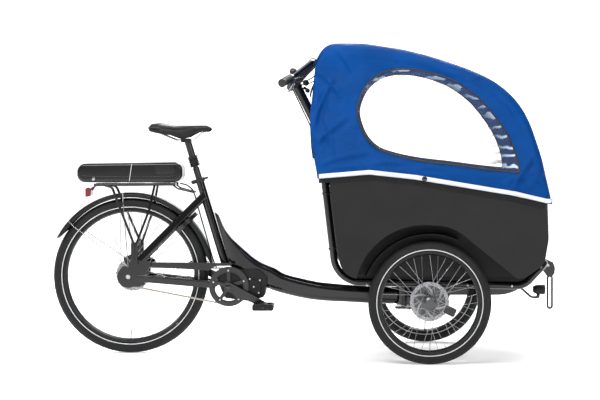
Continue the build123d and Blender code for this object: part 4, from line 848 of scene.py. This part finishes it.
cushion = mesh("bench_cushion", verts, layer + [tuple(i + count for i in reversed(f)) for f in layer] + sides,
               "cushion_cloth", "box_frame")

# ---------------------------------------------------------------- brake discs
DISC_TURNS, ARMS, ARM_STEPS = 144, 6, 8
BANDS = (15, 11.5, 9, 6, 3.5, 0)     # rings of the drilled band, mm in from the rim; holes are in two of them
WAVE = 0.9                           # depth of the wavy rim
HUB_R = 24.0


def disc(name, hub, axle, body, outer):
    """A drilled disc with curved arms laid over both faces of the hub's plain one."""
    wheel = P(*axle)
    near = [v.co.y for v in frame["nodes"][hub].data.vertices
            if math.hypot(v.co.x - wheel.x, v.co.z - wheel.z) > (outer - 2.5) / 1000]
    verts, faces = [], []

    def add(r, a, y):
        verts.append(Vector((wheel.x + r / 1000 * math.cos(a), y, wheel.z + r / 1000 * math.sin(a))))

    for y in (min(near) - 0.0004, max(near) + 0.0004):
        base = len(verts)
        for i in range(DISC_TURNS):
            a = 2 * math.pi * i / DISC_TURNS
            for inset in BANDS:
                add(outer - inset if inset else outer + WAVE * math.sin(a * 12) - WAVE, a, y)
        for i in range(DISC_TURNS):
            this, after = base + i * len(BANDS), base + (i + 1) % DISC_TURNS * len(BANDS)
            for j in range(len(BANDS) - 1):
                is_hole = (j == 1 and i % 6 in (0, 1)) or (j == 3 and i % 6 in (3, 4))
                if not is_hole:
                    faces.append((this + j, this + j + 1, after + j + 1, after + j))
        for arm in range(ARMS):
            for step in range(ARM_STEPS):
                faces.append(tuple(range(len(verts), len(verts) + 4)))
                for t, w in ((step, -1), (step, 1), (step + 1, 1), (step + 1, -1)):
                    t /= ARM_STEPS
                    a = math.pi * arm / 3 + 0.75 * t + w * (0.16 - 0.09 * t)
                    add(HUB_R + (outer - 14 - HUB_R) * t, a, y)
    thicken(mesh(name, verts, faces, "disc_steel", body, "steel", smooth=False), 0.0007, 0)


disc("disc_front_right", "front_right_hub", FRONT_AXLE, "front_right_wheel", 80.0)
disc("disc_front_left", "front_left_hub", FRONT_AXLE, "front_left_wheel", 80.0)
disc("disc_rear", "rear_hub", REAR_AXLE, "rear_wheel", 71.0)

# ---------------------------------------------------------------- skirts of the rear mudguard
GUARD_STEPS = 90
GUARD_FROM, GUARD_TO = 6.5, 153.2    # degrees round the rear axle
GUARD_EDGE, EASE_STEPS = 349, 5      # the skirts rise to this radius over the last steps at each end
half_lip = [(30.5, 333.0), (31.0, 343.0), (28.5, 350.0), (20.0, 352.6)]       # (y, radius) of its section
lip = [(-y, r) for y, r in half_lip] + [(0.0, 353.4)] + half_lip[::-1]
verts = []
for i in range(GUARD_STEPS):
    a = math.radians(GUARD_FROM + (GUARD_TO - GUARD_FROM) * i / (GUARD_STEPS - 1))
    ease = min(1.0, i / EASE_STEPS, (GUARD_STEPS - 1 - i) / EASE_STEPS)
    for y, r in lip:
        r = r if r > 345 else GUARD_EDGE - (GUARD_EDGE - r) * ease
        verts.append(P(REAR_AXLE[0] + r * math.cos(a), REAR_AXLE[1] + r * math.sin(a), y))
guard = mesh("rear_guard_shell", verts, grid_faces(GUARD_STEPS, len(lip)), "black_plastic", "rear_frame")
thicken(guard, 0.0016)
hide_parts("rear_mudguard")

# ---------------------------------------------------------------- battery seam with a pale painted highlight, edge, end panel and key
battery_low, battery_high = [corner[2] * 1000 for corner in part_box("battery")]
SEAM_HIGHLIGHT = [(2, battery_low + 6), (12, battery_high - 8)]
EDGE = [(-196, 757), (-180, 748), (160, 750), (190, 756)]
PANEL = [(118, 762), (186, 765), (196, 776), (190, 792), (180, 800), (112, 797)]
for side, word in SIDES:
    face_y = side * 62.2
    # the seam is a real groove, drawn in a pale material as a painted highlight along it
    tube(f"battery_seam_{word}", [P(x, z, face_y) for x, z in SEAM_HIGHLIGHT], 1.3, "reflective", "battery",
         "battery_plastic", straight=True)
    tube(f"battery_edge_{word}", [P(x, z, face_y) for x, z in EDGE], 0.8, "gloss_black", "battery",
         "battery_plastic")
    verts, faces = [], []
    add_prism(verts, faces, PANEL, face_y, face_y - side * 3)
    mesh(f"battery_panel_{word}", verts, faces, "gloss_black", "battery", "battery_plastic", smooth=False)
lathe("battery_key", [(0.1, 0), (7, 0), (7, 1.2), (5.5, 2.0), (0.1, 2.0)], P(-150, 742, -61), (0, -1, 0),
      "steel", "battery", 24)


# ---------------------------------------------------------------- floor, backdrop, light and camera
def stage_plane(name, corners, colour, rough, gloss):
    """A glowing plane that isn't part of the object; returns its shader tree and its main shader."""
    data = bpy.data.meshes.new(name)
    data.from_pydata(corners, [], [(0, 1, 2, 3)])
    plane = bpy.data.objects.new(name, data)
    bpy.context.collection.objects.link(plane)
    tree = material(name, colour, rough, gloss=gloss).node_tree
    p = tree.nodes["Principled BSDF"]
    p.inputs["Emission Color"].default_value = (1, 1, 1, 1)
    data.materials.append(M[name])
    return tree, p


# the floor glows more the further it is from the cycle, so its horizon doesn't show
FLOOR = [(-30, -30, 0), (30, -30, 0), (30, 60, 0), (-30, 60, 0)]
BACKDROP = [(-40, 55, -1), (40, 55, -1), (40, 55, 30), (-40, 55, 30)]
tree, p = stage_plane("floor", FLOOR, (0.84, 0.84, 0.845), 0.8, 0.1)
reach = add_node(tree, "VectorMath", operation="LENGTH")
fade = add_node(tree, "MapRange", {"From Min": 0.8, "From Max": 5.0, "To Min": 0.33, "To Max": 0.95})
tree.links.new(add_node(tree, "TexCoord").outputs["Object"], reach.inputs[0])
tree.links.new(reach.outputs["Value"], fade.inputs["Value"])
tree.links.new(fade.outputs["Result"], p.inputs["Emission Strength"])
tree, p = stage_plane("backdrop", BACKDROP, (0.9, 0.9, 0.9), 0.9, 0.0)
p.inputs["Emission Strength"].default_value = 1.05
scene = bpy.context.scene
scene.world = bpy.data.worlds.new("studio")
scene.world.use_nodes = True
sky = scene.world.node_tree.nodes["Background"]
sky.inputs["Color"].default_value = (1, 1, 1, 1)
sky.inputs["Strength"].default_value = 0.24


def lamp(name, where, aim, size, power, tall=None):
    """An area lamp at a place, turned to another; tall makes it a strip."""
    data = bpy.data.lights.new(name, "AREA")
    data.size = size
    if tall:
        data.shape = "RECTANGLE"
        data.size_y = tall
    data.energy = power
    obj = bpy.data.objects.new(name, data)
    bpy.context.collection.objects.link(obj)
    obj.location = where
    obj.rotation_euler = (Vector(aim) - Vector(where)).to_track_quat("-Z", "Y").to_euler()


lamp("key", (-1.6, -2.6, 4.0), (0.1, 0, 0.6), 3.4, 120, 0.9)
lamp("front", (2.6, -3.4, 2.4), (0.2, 0, 0.7), 1.6, 55)
lamp("top", (0.2, 0.2, 4.2), (0, 0, 0.4), 4.0, 85, 1.2)
lamp("strip", (-0.5, -1.9, 2.3), (-0.35, 0, 0.4), 1.9, 15, 0.16)
lamp("rear", (-3.4, 1.4, 2.2), (-0.4, 0, 0.6), 1.4, 45)
lamp("behind", (0.8, 3.4, 3.6), (0.5, 0, 0.9), 2.6, 280)
scene.view_settings.view_transform = "Standard"
scene.view_settings.look = "None"

# the camera stands square to the cycle's right side, and its lens is shifted to frame it
CAMERA_X, CAMERA_AWAY, CAMERA_Z = 1061.9, 6700, 944.5
camera_data = bpy.data.cameras.new("camera")
camera_data.lens = 94.19
camera_data.sensor_width = 36
camera_data.shift_x = -0.1333
camera_data.shift_y = -0.115
camera = bpy.data.objects.new("camera", camera_data)
bpy.context.collection.objects.link(camera)
camera.location = P(CAMERA_X, CAMERA_Z, -CAMERA_AWAY)
camera.rotation_euler = (math.pi / 2, 0, 0)
scene.camera = camera
